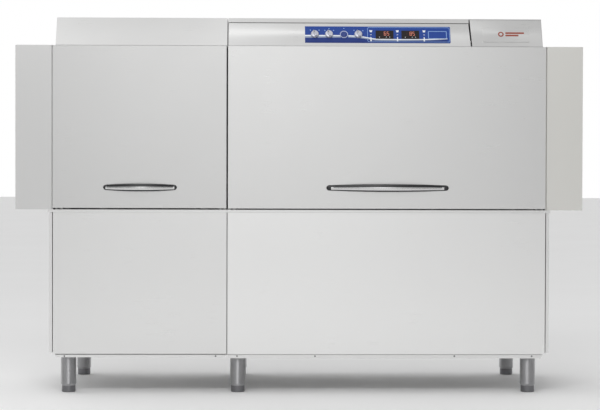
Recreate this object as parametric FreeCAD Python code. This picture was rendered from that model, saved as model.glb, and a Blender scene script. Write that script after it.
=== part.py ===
"""Rack-conveyor dishwasher: a prewash module on the left, a wash and rinse module on the right.

Millimetres. X runs to the right, Z up, and the front of the machine faces -Y. The origin is on the
floor at the middle of the machine.
"""
import FreeCAD, Part
import math
import os

V = FreeCAD.Vector

# Widths, measured from the middle of the machine
SHROUD_END = 1180.0
RIM_END = 1044.0
CABINET_END = 1040.0
BODY_END = 1024.0
HOOD_END = 1020.0
SEAM = -302.0

# Depths
FACE = 385.0
PROUD = 42.0
PAN_DEPTH = 20.0
DOOR_THICK = 22.0
REAR_WALL = 322.0
SHEET = 1.5

# Heights
TRAY_TOP = 158.5
PANEL_BOTTOM_LEFT = 163.5
PANEL_BOTTOM_RIGHT = 161.5
PANEL_TOP = 750.6
RIM_BOTTOM = 751.0
RIM_TOP = 763.0
DOOR_BOTTOM = {"left": 769.5, "right": 768.5}
DOOR_TOP = 1443.0
HOOD_TOP = 1568.0

# Gaps between neighbours
DOOR_GAP = 7.0
PANEL_GAP = 4.0
MODULE_GAP = 3.0
SIDE_GAP = 3.0
SHROUD_CLEAR = 1.0
SHROUD_GAP = 5.0
SHROUD_GAP_DEPTH = 12.0
SHROUD_FOLD = 16.0

# Legs and feet
LEG_X = {"left": -964.0, "middle": -257.0, "right": 960.0}
LEG_Y = {"front": -330.0, "rear": 330.0}
LEG_R = 31.8
FOOT_R = 28.5
FOOT_H = 27.0
STEM_R = 14.0
STEM_LENGTH = 73.0
THREAD_CLEAR = 0.3
LEG_SHOULDER = 36.0
LEG_TOP = 153.0

# Welded frame
FRAME_TUBE = 30.0
FRAME_Y = 348.0
FRAME_X = (-1003.0, SEAM, 1003.0)

# Tanks and the openings in the rim above them: x range of each, and one y range
TANK_Y = (-278.0, 266.0)
PREWASH_TANK_X = (-976.0, -339.0)
WASH_TANK_X = (-266.0, 440.0)
RINSE_TRAY_END = 976.0
TANK_BOTTOM = 360.0
TANK_LIP = 10.0
RIM_CLEAR = 2.0
STRAINER_Z = (700.0, 714.0)

# Tank heating element and rinse boiler
HEATER_Z = (400.0, 440.0)
HEATER_BEND = 35.0
HEATER_R = 5.0
BOILER = (620.0, -60.0)
BOILER_R = 105.0
BOILER_Z = (190.0, 590.0)

# Tunnel that the racks pass through
TUNNEL_HALF = 272.0
TUNNEL_Z = (832.0, 1312.0)
CHAMBER_FRONT_Y = -299.0
ROOF_FRONT_Y = -332.0
ROOF_LIP = 22.0
RAIL_END = 1165.0
RAIL_Y = (238.0, 266.0)
RAIL_Z = (864.5, 866.0, 895.0)
CROSS_BAR_X = (-820.0, -400.0, 330.0, 560.0, 900.0)
CROSS_BAR_Z = (828.0, 838.0)
GUIDE_BLOCK_X = CROSS_BAR_X[:4]

# Shuttle, pawls and drive
BAR_X = (-930.0, 810.0)
BAR_HALF = 15.0
BAR_Z = (840.0, 855.0)
PAWL_X = (-700.0, -60.0, 580.0)
PAWL_PIVOT_Z = 848.0
PAWL_HALF = 4.0
DRIVE_X = 700.0
LEVER_Y = 295.0
LEVER_Z = (826.0, 834.0)
DRIVE_PIN_R = 6.0
LEVER_SLOT_HALF = 7.4
DRIVE_SHAFT_R = 9.0
DRIVE_SHAFT_BOTTOM = 640.0

# Spray arms: riser x, and the x of each cross tube
ARM_LOW_Z = 800.0
ARM_HIGH_Z = 1372.0
ARM_FRONT_Y = -245.0
RISER_Y = 300.0
RISER_R = 18.0
PREWASH_RISER_X = -640.0
WASH_RISER_X = 80.0
RINSE_RISER_X = 820.0
RINSE_RISER_R = 11.0
WASH_TUBE_R = 12.0
RINSE_TUBE_R = 8.0
ELBOW = 1.15

# Pumps
PUMP_Y = 120.0
PUMP_Z = 260.0
VOLUTE_R = 75.0
VOLUTE_HALF = 30.0
IMPELLER_R = 58.0

# Header: the face leans back from its bottom edge to its top edge
HEADER_BOTTOM_Y = -325.0
HEADER_TOP_Y = -265.0
HEADER_BOTTOM_Z = DOOR_TOP
HEADER_SLOPE = math.hypot(HEADER_TOP_Y - HEADER_BOTTOM_Y, HOOD_TOP - HEADER_BOTTOM_Z)
LEAN_DEG = math.degrees(math.asin((HEADER_TOP_Y - HEADER_BOTTOM_Y) / HEADER_SLOPE))

# On the header face: x to the right, v up the slope
FASCIA_X = (-298.0, 717.0)
FASCIA_V = (6.0, 115.0)
FACE_PAN_DEPTH = 8.0
CAP_GAP = 6.0
CAP_LEAN = 6.0
OVERLAY_X = (21.6, 633.0)
OVERLAY_V = (21.0, 100.0)
OVERLAY_T = 1.0
BADGE_X = (769.5, 965.0)
BADGE_V = (27.6, 102.0)
CONTROL_V = 60.2
KNOB_X = {"left": 62.8, "middle": 122.6, "right": 245.8}
KNOB_R = 17.25
KNOB_H = 15.0
SPINDLE_R = 3.0
BUTTON_X = 185.3
BUTTON_R = 13.0

# Doors
DOOR_X = {"left": (-BODY_END, SEAM - DOOR_GAP / 2), "right": (SEAM + DOOR_GAP / 2, BODY_END)}
HANDLE_Z = 855.0
HANDLE_H = (22.0, 32.0)
HANDLE_LEFT = (-814.5, -512.0)
HANDLE_RIGHT = (110.5, 619.0)
CHANNEL_W = 30.0
CHANNEL_Y = (-360.0, -300.0)
CHANNEL_X = {"left": (-1001.0, -322.0), "right": (-282.0, 1001.0)}
RUNNER_Z = ((790.0, 820.0), (940.0, 970.0))
ROPE_R = 1.2
ROPE_Y = -304.0
ROPE_CLEAR = 0.3
RUNNER_BACK_Y = -312.0
DRUM_R = 25.0
DRUM_FLANGE = 2.0
SHAFT_R = 8.0
SHAFT_Y = ROPE_Y + DRUM_R + ROPE_R + ROPE_CLEAR
SHAFT_Z = 1471.0

# Curtains
CURTAIN_X = 985.0
CURTAIN_HALF = 255.0
CURTAIN_PIVOT_Z = 1322.0
CURTAIN_BOTTOM = 900.0
CURTAIN_ROD_R = 4.0

# Services on the rear, x and z of each
INLET = (-850.0, 300.0)
DRAIN = (-750.0, 215.0)
GLAND = (-600.0, 450.0)
INLET_R = 13.2
DRAIN_R = 25.0
GLAND_R = 14.0
GLAND_BORE_R = 8.0

# Bolt holes for the entry and exit tables
TABLE_BOLT_Y = 200.0
TABLE_BOLT_Z = 700.0
TABLE_BOLT_R = 4.5


def block(x, y, z):
    """Box over three (low, high) ranges."""
    size = (x[1] - x[0], y[1] - y[0], z[1] - z[0])
    return Part.makeBox(*size, V(x[0], y[0], z[0]))


def rod(start, end, radius):
    """Cylinder from one point to another."""
    a = V(*start)
    line = V(*end) - a
    return Part.makeCylinder(radius, line.Length, a, line)


def fuse(shapes):
    """One solid from overlapping or touching ones."""
    shapes = list(shapes)
    joined = shapes[0].multiFuse(shapes[1:]) if len(shapes) > 1 else shapes[0]
    return joined.removeSplitter()


def group(shapes):
    """Separate solids kept in one node."""
    return Part.makeCompound(list(shapes))


def prism(points, direction):
    """Closed polygon pushed along a direction."""
    corners = [V(*p) for p in points]
    return Part.Face(Part.makePolygon(corners + corners[:1])).extrude(V(*direction))


def prism_x(points_yz, x):
    """Outline in Y and Z, pushed from x[0] to x[1]."""
    return prism([(x[0], y, z) for y, z in points_yz], (x[1] - x[0], 0, 0))


def prism_y(points_xz, y):
    """Outline in X and Z, pushed from y[0] to y[1]."""
    return prism([(px, y[0], pz) for px, pz in points_xz], (0, y[1] - y[0], 0))


def pan(x, y, z, open_side):
    """Folded sheet pan: a box of sheet with one side left open, such as '+y'."""
    ranges = {"x": list(x), "y": list(y), "z": list(z)}
    inner = {}
    for axis, (low, high) in ranges.items():
        inner[axis] = [low + SHEET, high - SHEET]
    end = 1 if open_side[0] == "+" else 0
    inner[open_side[1]][end] = ranges[open_side[1]][end] + (1 if end else -1)
    return block(x, y, z).cut(block(inner["x"], inner["y"], inner["z"]))


def lean(shape):
    """Move a shape from header coordinates (x, depth behind the face, v) to its place."""
    placed = shape.copy()
    placed.rotate(V(0, 0, 0), V(1, 0, 0), -LEAN_DEG)
    placed.translate(V(0, HEADER_BOTTOM_Y, HEADER_BOTTOM_Z))
    return placed


def mirror_x(shape):
    """The same shape on the other side of the middle plane."""
    return shape.mirror(V(0, 0, 0), V(1, 0, 0))


def pipe(points, radius, wall):
    """Hollow pipe along straight runs with round elbows, open at both ends."""
    def along(r, reach):
        pieces = []
        for a, b in zip(points, points[1:]):
            pieces.append(rod(a, b, r))
        for corner in points[1:-1]:
            pieces.append(Part.makeSphere(r * ELBOW, V(*corner)))
        for end, neighbour in ((points[0], points[1]), (points[-1], points[-2])):
            if reach:
                outward = (V(*end) - V(*neighbour)).normalize() * reach
                pieces.append(rod(end, tuple(V(*end) + outward), r))
        return fuse(pieces)
    return along(radius, 0).cut(along(radius - wall, 1.0))


# ---- Lower cabinet ----

def base_frame():
    """Welded square tube: lower ring, posts and upper ring, with a cross frame at the seam."""
    low = (TRAY_TOP, TRAY_TOP + FRAME_TUBE)
    high = (RIM_TOP - SHEET - FRAME_TUBE, RIM_TOP - SHEET)

    def tubes(inset):
        half = FRAME_TUBE / 2 - inset
        ends = (FRAME_X[0] - half, FRAME_X[-1] + half)
        pieces = []
        for z in (low, high):
            layer = (z[0] + inset, z[1] - inset)
            for y in (-FRAME_Y, FRAME_Y):
                pieces.append(block(ends, (y - half, y + half), layer))
            for x in FRAME_X:
                pieces.append(block((x - half, x + half), (-FRAME_Y, FRAME_Y), layer))
        for x in FRAME_X:
            for y in (-FRAME_Y, FRAME_Y):
                pieces.append(block((x - half, x + half), (y - half, y + half),
                                    (low[0] + inset, high[1] - inset)))
        return fuse(pieces)

    return tubes(0).cut(tubes(2.0))


def leg(x, y):
    """Polished tube with a welded top plate and a threaded insert at its tapered lower end."""
    tube_wall = rod((x, y, LEG_SHOULDER), (x, y, LEG_TOP), LEG_R)
    bore = rod((x, y, LEG_SHOULDER - 1), (x, y, LEG_TOP + 1), LEG_R - SHEET)
    taper = Part.makeCone(FOOT_R, LEG_R, LEG_SHOULDER - FOOT_H - THREAD_CLEAR,
                          V(x, y, FOOT_H + THREAD_CLEAR))
    insert = rod((x, y, LEG_SHOULDER), (x, y, LEG_SHOULDER + FRAME_TUBE), LEG_R - SHEET)
    plate_half = 42.0
    plate = block((x - plate_half, x + plate_half), (y - plate_half, y + plate_half),
                  (LEG_TOP, TRAY_TOP - SHEET))
    thread = rod((x, y, 0), (x, y, LEG_TOP - 1), STEM_R + THREAD_CLEAR)
    return fuse([tube_wall.cut(bore), taper, insert, plate]).cut(thread)


def foot(x, y):
    """Adjustable foot: rounded pad on a stem that screws into the leg."""
    pad = rod((x, y, 0), (x, y, FOOT_H), FOOT_R)
    pad = pad.makeFillet(2.5, [e for e in pad.Edges if abs(e.BoundBox.ZMax) < 0.01])
    stem = rod((x, y, FOOT_H - 1), (x, y, FOOT_H + STEM_LENGTH), STEM_R)
    return fuse([pad, stem])


def base_tray(x, lip_bottom):
    """Floor sheet of one module, folded down at the front and rear into a lip with cut corners."""
    corner = 8.0
    fold = FACE - 10.0
    lip = [(x[0], TRAY_TOP), (x[1], TRAY_TOP), (x[1], lip_bottom + corner),
           (x[1] - corner, lip_bottom), (x[0] + corner, lip_bottom), (x[0], lip_bottom + corner)]
    front = prism_y(lip, (-fold, -fold + SHEET))
    rear = prism_y(lip, (fold - SHEET, fold))
    floor = block(x, (-fold, fold), (TRAY_TOP - SHEET, TRAY_TOP))
    return fuse([front, rear, floor])


def side_panel():
    """Right-hand end panel, folded round the corners, with the table's two bolt holes."""
    panel = pan((BODY_END + SIDE_GAP, CABINET_END), (-FACE, FACE), (168.0, RIM_BOTTOM - 1), "-x")
    for y in (-TABLE_BOLT_Y, TABLE_BOLT_Y):
        panel = panel.cut(rod((BODY_END, y, TABLE_BOLT_Z), (RIM_END, y, TABLE_BOLT_Z), TABLE_BOLT_R))
    return panel


def rear_panels():
    """Two lower rear panels and the cover behind the chambers."""
    depth = (FACE - PAN_DEPTH, FACE)
    left = pan((-HOOD_END, SEAM - PANEL_GAP / 2), depth, (PANEL_BOTTOM_LEFT, PANEL_TOP), "-y")
    right = pan((SEAM + PANEL_GAP / 2, HOOD_END), depth, (PANEL_BOTTOM_LEFT, PANEL_TOP), "-y")
    upper = pan((-HOOD_END, HOOD_END), depth, (RIM_TOP, DOOR_TOP), "-y")
    for (x, z), radius in ((INLET, INLET_R), (DRAIN, DRAIN_R), (GLAND, GLAND_R)):
        left = left.cut(rod((x, depth[0], z), (x, FACE + 1, z), radius + 0.5))
    return group([left, right, upper])


def panel_screws():
    """Round-headed screws along the front lip."""
    lip_face = FACE - 10.0
    height = 153.0
    positions = (-977.0, -349.0, -260.0, 65.0, 647.0, 971.0)
    return group(rod((x, -lip_face - 2.0, height), (x, -lip_face, height), 3.5) for x in positions)


def rim_openings():
    """x ranges of the two openings in the deck rim."""
    return ((PREWASH_TANK_X[0] - RIM_CLEAR, PREWASH_TANK_X[1] + RIM_CLEAR),
            (WASH_TANK_X[0] - RIM_CLEAR, RINSE_TRAY_END + RIM_CLEAR))


def tank_rim():
    """Deck that the chambers stand on: folded sheet, open over each tank, with riser holes."""
    rim = block((-RIM_END, RIM_END), (-FACE - 3, FACE + 3), (RIM_BOTTOM, RIM_TOP))
    under = block(inside((-RIM_END, RIM_END)), inside((-FACE - 3, FACE + 3)),
                  (RIM_BOTTOM - 1, RIM_TOP - SHEET))
    y = (TANK_Y[0] - RIM_CLEAR, TANK_Y[1] + RIM_CLEAR)
    for x in rim_openings():
        rim = rim.cut(block(x, y, (RIM_BOTTOM - 1, RIM_TOP + 1)))
        fold = (x[0] - SHEET, x[1] + SHEET)
        under = under.cut(block(fold, (y[0] - SHEET, y[1] + SHEET), (RIM_BOTTOM - 2, RIM_TOP)))
    rim = rim.cut(under)
    holes = ((PREWASH_RISER_X, RISER_Y, RISER_R), (WASH_RISER_X, RISER_Y, RISER_R),
             (RINSE_RISER_X, RISER_Y, RINSE_RISER_R), (DRIVE_X, LEVER_Y, DRIVE_SHAFT_R + 5.0))
    for x, hole_y, radius in holes:
        rim = rim.cut(rod((x, hole_y, RIM_BOTTOM - 1), (x, hole_y, RIM_TOP + 1), radius + 0.5))
    return rim


def tank_lip(x):
    """Flat lip round the top of a tank, under the rim."""
    y = TANK_Y
    outer = block((x[0] - TANK_LIP, x[1] + TANK_LIP), (y[0] - TANK_LIP, y[1] + TANK_LIP),
                  (RIM_BOTTOM - SHEET, RIM_BOTTOM))
    return outer.cut(block(x, y, (RIM_BOTTOM - 3, RIM_BOTTOM + 1)))


def inside(span):
    """A range shrunk by the sheet's thickness at both ends."""
    return (span[0] + SHEET, span[1] - SHEET)


def tank_outlet(x):
    """Hole in a tank's floor over the pump's suction pipe."""
    return rod((x, PUMP_Y, TANK_BOTTOM - 1), (x, PUMP_Y, TANK_BOTTOM + 3), RISER_R - 2)


def prewash_tank():
    """Deep tank under the prewash zone."""
    outer = block(PREWASH_TANK_X, TANK_Y, (TANK_BOTTOM, RIM_BOTTOM))
    hollow = block(inside(PREWASH_TANK_X), inside(TANK_Y), (TANK_BOTTOM + SHEET, RIM_BOTTOM + 1))
    shell = outer.cut(hollow)
    return fuse([shell, tank_lip(PREWASH_TANK_X)]).cut(tank_outlet(PREWASH_RISER_X - 100))


def wash_tank():
    """Deep tank with a shallow tray, sloped down to it, under the rinse zone."""
    low, high = 718.0, 733.0
    x = (WASH_TANK_X[0], RINSE_TRAY_END)
    join = WASH_TANK_X[1] - 10.0

    def body(gap, top):
        deep = block((x[0] + gap, WASH_TANK_X[1] - gap), (TANK_Y[0] + gap, TANK_Y[1] - gap),
                     (TANK_BOTTOM + gap, top))
        tray = prism_y([(join, low + gap), (x[1] - gap, high + gap), (x[1] - gap, top), (join, top)],
                       (TANK_Y[0] + gap, TANK_Y[1] - gap))
        return fuse([deep, tray])

    shell = fuse([body(0, RIM_BOTTOM).cut(body(SHEET, RIM_BOTTOM + 1)), tank_lip(x)])
    shell = shell.cut(tank_outlet(WASH_RISER_X - 100))
    for z in HEATER_Z:
        for y in (-HEATER_BEND, HEATER_BEND):
            shell = shell.cut(rod((WASH_TANK_X[1] - 3, y, z), (WASH_TANK_X[1] + 1, y, z), HEATER_R + 0.2))
    return shell


def heaters():
    """Wash tank heating element with its flange, and the rinse boiler."""
    wall = WASH_TANK_X[1]
    bend_x = wall - 600
    loops = []
    for z in HEATER_Z:
        bend = Part.makeTorus(HEATER_BEND, HEATER_R, V(bend_x, 0, z), V(0, 0, 1), -180, 180, 180)
        bend.rotate(V(bend_x, 0, z), V(0, 0, 1), 90)
        legs = [rod((bend_x, y, z), (wall + 4, y, z), HEATER_R) for y in (-HEATER_BEND, HEATER_BEND)]
        loops.append(fuse([bend] + legs))
    flange = block((wall, wall + 8), (-60, 60), (HEATER_Z[0] - 25, HEATER_Z[1] + 25))
    element = fuse([flange] + loops)
    x, y = BOILER
    shell = rod((x, y, BOILER_Z[0]), (x, y, BOILER_Z[1]), BOILER_R)
    shell = shell.makeFillet(25, [e for e in shell.Edges if e.BoundBox.ZLength < 0.01])
    hollow = rod((x, y, BOILER_Z[0] + 2), (x, y, BOILER_Z[1] - 2), BOILER_R - 2)
    hollow = hollow.makeFillet(23, [e for e in hollow.Edges if e.BoundBox.ZLength < 0.01])
    return group([element, shell.cut(hollow)])


def strainer_trays():
    """Shallow trays that catch scraps over the tanks."""
    y = (TANK_Y[0] + 4, TANK_Y[1] - 4)
    left = pan((PREWASH_TANK_X[0] + 4, PREWASH_TANK_X[1] - 4), y, STRAINER_Z, "+z")
    right = pan((WASH_TANK_X[0] + 4, WASH_TANK_X[1] - 4), y, STRAINER_Z, "+z")
    return group([left, right])


# ---- Pumps and pipes ----

def pump(x):
    """Volute with its suction and delivery stubs, and the motor behind it."""
    axis = (PUMP_Y, PUMP_Z)
    faces = (x - VOLUTE_HALF, x + VOLUTE_HALF)
    wall = 6.0
    housing = fuse([
        rod((faces[0], *axis), (faces[1], *axis), VOLUTE_R),
        rod((faces[0] - 20, *axis), (faces[0], *axis), 26.0),
        rod((x, PUMP_Y, PUMP_Z), (x, PUMP_Y + VOLUTE_R + 15, PUMP_Z), 22.0),
    ])
    hollow = fuse([
        rod((faces[0] + wall, *axis), (faces[1] - wall, *axis), VOLUTE_R - 8),
        rod((faces[0] - 21, *axis), (x, *axis), RISER_R - 2),
        rod((x, PUMP_Y, PUMP_Z), (x, PUMP_Y + VOLUTE_R + 16, PUMP_Z), RISER_R - 2),
        rod((x, *axis), (faces[1] + 1, *axis), 8.5),
    ])
    motor = rod((faces[1], *axis), (faces[1] + 180, *axis), 60.0)
    motor = motor.makeFillet(8, [e for e in motor.Edges if e.BoundBox.XMin > faces[1] + 170])
    foot_block = block((faces[1] + 20, faces[1] + 150), (PUMP_Y - 50, PUMP_Y + 50),
                       (TRAY_TOP, PUMP_Z - 30))
    shaft_bore = rod((faces[1] - 1, *axis), (faces[1] + 60, *axis), 8.5)
    return [housing.cut(hollow), fuse([motor, foot_block]).cut(shaft_bore)]


def impeller(x):
    """Six-bladed impeller on its motor shaft."""
    axis = (PUMP_Y, PUMP_Z)
    disc = rod((x + 6, *axis), (x + 12, *axis), IMPELLER_R)
    hub = rod((x - 8, *axis), (x + 20, *axis), 14.0)
    shaft = rod((x + 12, *axis), (x + VOLUTE_HALF + 55, *axis), 8.0)
    blade = block((x - 6, x + 7), (PUMP_Y + 10, PUMP_Y + IMPELLER_R - 2), (PUMP_Z - 2, PUMP_Z + 2))
    blades = []
    for turn in range(6):
        blades.append(blade.copy())
        blades[-1].rotate(V(x, *axis), V(1, 0, 0), turn * 60)
    return fuse([disc, hub, shaft] + blades)


def pump_pipes():
    """Suction and delivery pipes of both pumps, and the rinse pipe from the boiler."""
    pipes = []
    for x in (PREWASH_RISER_X, WASH_RISER_X):
        inlet_x = x - VOLUTE_HALF - 20
        pipes.append(pipe([(x - 100, PUMP_Y, TANK_BOTTOM), (x - 100, PUMP_Y, PUMP_Z),
                           (inlet_x, PUMP_Y, PUMP_Z)], RISER_R, SHEET))
        outlet_y = PUMP_Y + VOLUTE_R + 15
        pipes.append(pipe([(x, outlet_y, PUMP_Z), (x, RISER_Y, PUMP_Z), (x, RISER_Y, RIM_TOP)],
                          RISER_R, SHEET))
    x, y = BOILER
    level = 650.0
    pipes.append(pipe([(x, y, BOILER_Z[1]), (x, y, level), (RINSE_RISER_X, y, level),
                       (RINSE_RISER_X, RISER_Y, level), (RINSE_RISER_X, RISER_Y, RIM_TOP)],
                      RINSE_RISER_R, SHEET))
    return group(pipes)


def service_connections():
    """Threaded water inlet, drain spigot and cable gland on the rear."""
    inside_y = FACE - PAN_DEPTH
    tip = FACE + PROUD

    def stub(at, radius, bore, collar):
        x, z = at
        body = rod((x, inside_y, z), (x, tip, z), radius)
        flange = rod((x, FACE, z), (x, FACE + 8, z), collar)
        return fuse([body, flange]).cut(rod((x, inside_y - 1, z), (x, tip + 1, z), bore))

    inlet = stub(INLET, INLET_R, 9.0, 20.0)
    drain = stub(DRAIN, DRAIN_R, 22.5, 34.0)
    x, z = GLAND
    gland = fuse([rod((x, inside_y, z), (x, FACE + 24, z), GLAND_R),
                  rod((x, FACE, z), (x, FACE + 8, z), 18.0)])
    gland = gland.cut(rod((x, inside_y - 1, z), (x, FACE + 25, z), GLAND_BORE_R))
    return group([inlet, drain, gland])


# ---- Wash tunnel ----

def tunnel_wall(x, y):
    """Upright wall across the tunnel, with the opening that racks pass through."""
    wall = block(x, y, (RIM_TOP, DOOR_TOP))
    return wall.cut(block((x[0] - 1, x[1] + 1), (-TUNNEL_HALF, TUNNEL_HALF), TUNNEL_Z))


def chamber(x, outer_is_left):
    """Lining of one module: rear wall, roof with its front lip, and two tunnel walls.

    The roof's front corners are cut away for the door channels.
    """
    y = (CHAMBER_FRONT_Y, REAR_WALL + SHEET)
    roof_z = (DOOR_TOP - SHEET, DOOR_TOP)
    margin = 20.0 + CHANNEL_W / 2
    notch = CHANNEL_X["left" if outer_is_left else "right"]
    inner = (notch[0] + margin, notch[1] - margin)
    pieces = [
        tunnel_wall((x[0], x[0] + SHEET), y),
        tunnel_wall((x[1] - SHEET, x[1]), y),
        block(x, (REAR_WALL, REAR_WALL + SHEET), (RIM_TOP, DOOR_TOP)),
        block(x, (y[0], y[1]), roof_z),
        block(inner, (ROOF_FRONT_Y, y[0] + 1), roof_z),
        block(inner, (ROOF_FRONT_Y, ROOF_FRONT_Y + SHEET), (roof_z[0] - ROOF_LIP, roof_z[1])),
    ]
    lug_x = (x[0] + SHEET, -CURTAIN_X + 8) if outer_is_left else (CURTAIN_X - 8, x[1] - SHEET)
    pivot_x = -CURTAIN_X if outer_is_left else CURTAIN_X
    for lug_y in (-CURTAIN_HALF - 10, CURTAIN_HALF + 6):
        lug = block(lug_x, (lug_y, lug_y + 4), (CURTAIN_PIVOT_Z - 8, CURTAIN_PIVOT_Z + 8))
        hole = rod((pivot_x, lug_y - 1, CURTAIN_PIVOT_Z), (pivot_x, lug_y + 5, CURTAIN_PIVOT_Z),
                   CURTAIN_ROD_R + 0.08)
        pieces.append(lug.cut(hole))
    return fuse(pieces)


def curtain(x):
    """Strip curtain hanging from its own rod, which turns in two lugs."""
    rod_half = CURTAIN_HALF + 12
    bar = rod((x, -rod_half, CURTAIN_PIVOT_Z), (x, rod_half, CURTAIN_PIVOT_Z), CURTAIN_ROD_R)
    sheet = block((x - 1, x + 1), (-CURTAIN_HALF, CURTAIN_HALF), (CURTAIN_BOTTOM, CURTAIN_PIVOT_Z))
    return fuse([bar, sheet])


def shroud():
    """Right-hand splash shroud: front, rear and roof, with a wall round the tunnel opening.

    An upright gap is left between its front and the door; a fold of the wall closes it behind.
    """
    half = FACE - 10.0
    top = DOOR_TOP + SHEET
    x = (BODY_END + SHROUD_CLEAR, SHROUD_END)
    shell = block(x, (-half, half), (RIM_TOP, top))
    shell = shell.cut(block((x[0] - 1, x[1] + 1), (-half + SHEET, half - SHEET),
                            (RIM_TOP - 1, top - SHEET)))
    wall = tunnel_wall((x[0], x[0] + SHEET), (-half, half))
    fold_y = -half + SHROUD_GAP_DEPTH
    fold = block((x[0], x[0] + SHROUD_FOLD), (fold_y, fold_y + SHEET), (RIM_TOP, DOOR_TOP))
    gap = block((x[0] - 1, x[0] + SHROUD_GAP), (-half - 1, fold_y), (RIM_TOP - 1, DOOR_TOP))
    return fuse([shell, wall, fold]).cut(gap)


def rack_rails():
    """Two angle rails on five cross bars, with a bearing block for the shuttle on four of them."""
    pieces = []
    for side in (-1, 1):
        edge = sorted((side * RAIL_Y[0], side * RAIL_Y[1]))
        upright = sorted((side * (RAIL_Y[1] - SHEET), side * RAIL_Y[1]))
        pieces.append(block((-RAIL_END, RAIL_END), edge, RAIL_Z[:2]))
        pieces.append(block((-RAIL_END, RAIL_END), upright, (RAIL_Z[0], RAIL_Z[2])))
    for x in CROSS_BAR_X:
        width = (x - 10, x + 10)
        pieces.append(block(width, (-RISER_Y, RISER_Y), CROSS_BAR_Z))
        for side in (-1, 1):
            riser = sorted((side * (RAIL_Y[1] - 10), side * (RAIL_Y[1] - SHEET)))
            leg_y = sorted((side * (RISER_Y - 12), side * RISER_Y))
            pieces.append(block(width, riser, (CROSS_BAR_Z[0], RAIL_Z[1])))
            pieces.append(block(width, leg_y, (RIM_TOP, CROSS_BAR_Z[1])))
    blocks = []
    for x in GUIDE_BLOCK_X:
        body = block((x - 14, x + 14), (-24, 24), (CROSS_BAR_Z[1], BAR_Z[1] - 1))
        track = block((x - 15, x + 15), (-BAR_HALF - 0.4, BAR_HALF + 0.4), (BAR_Z[0] - 0.4, BAR_Z[1] + 9))
        blocks.append(body.cut(track))
    return group([fuse(pieces)] + blocks)


def shuttle_bar():
    """Square bar with three pawl slots and their pins, and the pin that the drive lever pushes."""
    bar = block(BAR_X, (-BAR_HALF, BAR_HALF), BAR_Z)
    pins = []
    for x in PAWL_X:
        slot = (x - 26, x + 46)
        bar = bar.cut(block(slot, (-PAWL_HALF - 1, PAWL_HALF + 1), (BAR_Z[0] - 1, BAR_Z[1] + 1)))
        pins.append(rod((x, -PAWL_HALF - 2, PAWL_PIVOT_Z), (x, PAWL_HALF + 2, PAWL_PIVOT_Z), 3.0))
    pins.append(rod((DRIVE_X, 0, LEVER_Z[0] - 3), (DRIVE_X, 0, BAR_Z[0] + 2), DRIVE_PIN_R))
    return fuse([bar] + pins)


def pawl(x):
    """Pawl with an upright pushing face and a sloped back that racks press down."""
    outline = [(-16, -5), (10, -5), (10, 34), (2, 34), (-16, 4)]
    points = [(x + dx, PAWL_PIVOT_Z + dz) for dx, dz in outline]
    body = prism_y(points, (-PAWL_HALF, PAWL_HALF))
    bore = rod((x, -PAWL_HALF - 1, PAWL_PIVOT_Z), (x, PAWL_HALF + 1, PAWL_PIVOT_Z), 3.05)
    return body.cut(bore)


def drive_lever():
    """Forked lever on the gearmotor's upright shaft."""
    hub_r = 22.0
    tip = -26.0
    half = 15.0
    arm = block((DRIVE_X - half, DRIVE_X + half), (tip, LEVER_Y), LEVER_Z)
    slot = block((DRIVE_X - LEVER_SLOT_HALF, DRIVE_X + LEVER_SLOT_HALF), (tip - 1, 10.0),
                 (LEVER_Z[0] - 1, LEVER_Z[1] + 1))
    hub = rod((DRIVE_X, LEVER_Y, LEVER_Z[0]), (DRIVE_X, LEVER_Y, LEVER_Z[1] + 14), hub_r)
    shaft = rod((DRIVE_X, LEVER_Y, DRIVE_SHAFT_BOTTOM), (DRIVE_X, LEVER_Y, LEVER_Z[1] + 8), DRIVE_SHAFT_R)
    return fuse([arm.cut(slot), hub, shaft])


def gearmotor():
    """Gearbox, motor and the bearing tube that brings the upright shaft through the rim."""
    half = 60.0
    z = (560.0, 690.0)
    motor_y = LEVER_Y - 20
    motor_z = 615.0
    motor_length = 170.0
    box = block((DRIVE_X - half, DRIVE_X + half), (LEVER_Y - 50, LEVER_Y + 35), z)
    motor = rod((DRIVE_X - half - motor_length, motor_y, motor_z), (DRIVE_X - half, motor_y, motor_z), 50)
    tube_top = LEVER_Z[0] - 1
    bearing = rod((DRIVE_X, LEVER_Y, z[1]), (DRIVE_X, LEVER_Y, tube_top), DRIVE_SHAFT_R + 5)
    bore = rod((DRIVE_X, LEVER_Y, DRIVE_SHAFT_BOTTOM - 4), (DRIVE_X, LEVER_Y, tube_top + 1),
               DRIVE_SHAFT_R + 0.05)
    return fuse([box, motor, bearing]).cut(bore)


def spray_set(riser, cross, radius, wall):
    """Riser with headers and cross tubes below the racks and above them, each its own tube."""
    riser_x, riser_r = riser
    header_r = radius + 2
    fit = 0.02

    def riser_tube(grow):
        top = ARM_HIGH_Z + riser_r + grow
        return [rod((riser_x, RISER_Y, RIM_TOP + grow), (riser_x, RISER_Y, top), riser_r + grow)]

    def headers(grow):
        if len(cross) == 1:
            return []
        ends = (cross[0] - header_r - grow, cross[-1] + header_r + grow)
        return [rod((ends[0], RISER_Y, z), (ends[1], RISER_Y, z), header_r + grow)
                for z in (ARM_LOW_Z, ARM_HIGH_Z)]

    def arms(grow):
        return [rod((x, RISER_Y, z), (x, ARM_FRONT_Y - grow, z), radius + grow)
                for z in (ARM_LOW_Z, ARM_HIGH_Z) for x in cross]

    bores = fuse(riser_tube(-wall) + headers(-wall) + arms(-wall))
    tubes = [tube.cut(bores) for tube in riser_tube(0)]
    for header in headers(0):
        tubes += header.cut(fuse(riser_tube(fit))).cut(bores).Solids
    for arm in arms(0):
        tubes += arm.cut(fuse(riser_tube(fit) + headers(fit))).cut(bores).Solids
    return group(tubes)


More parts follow.
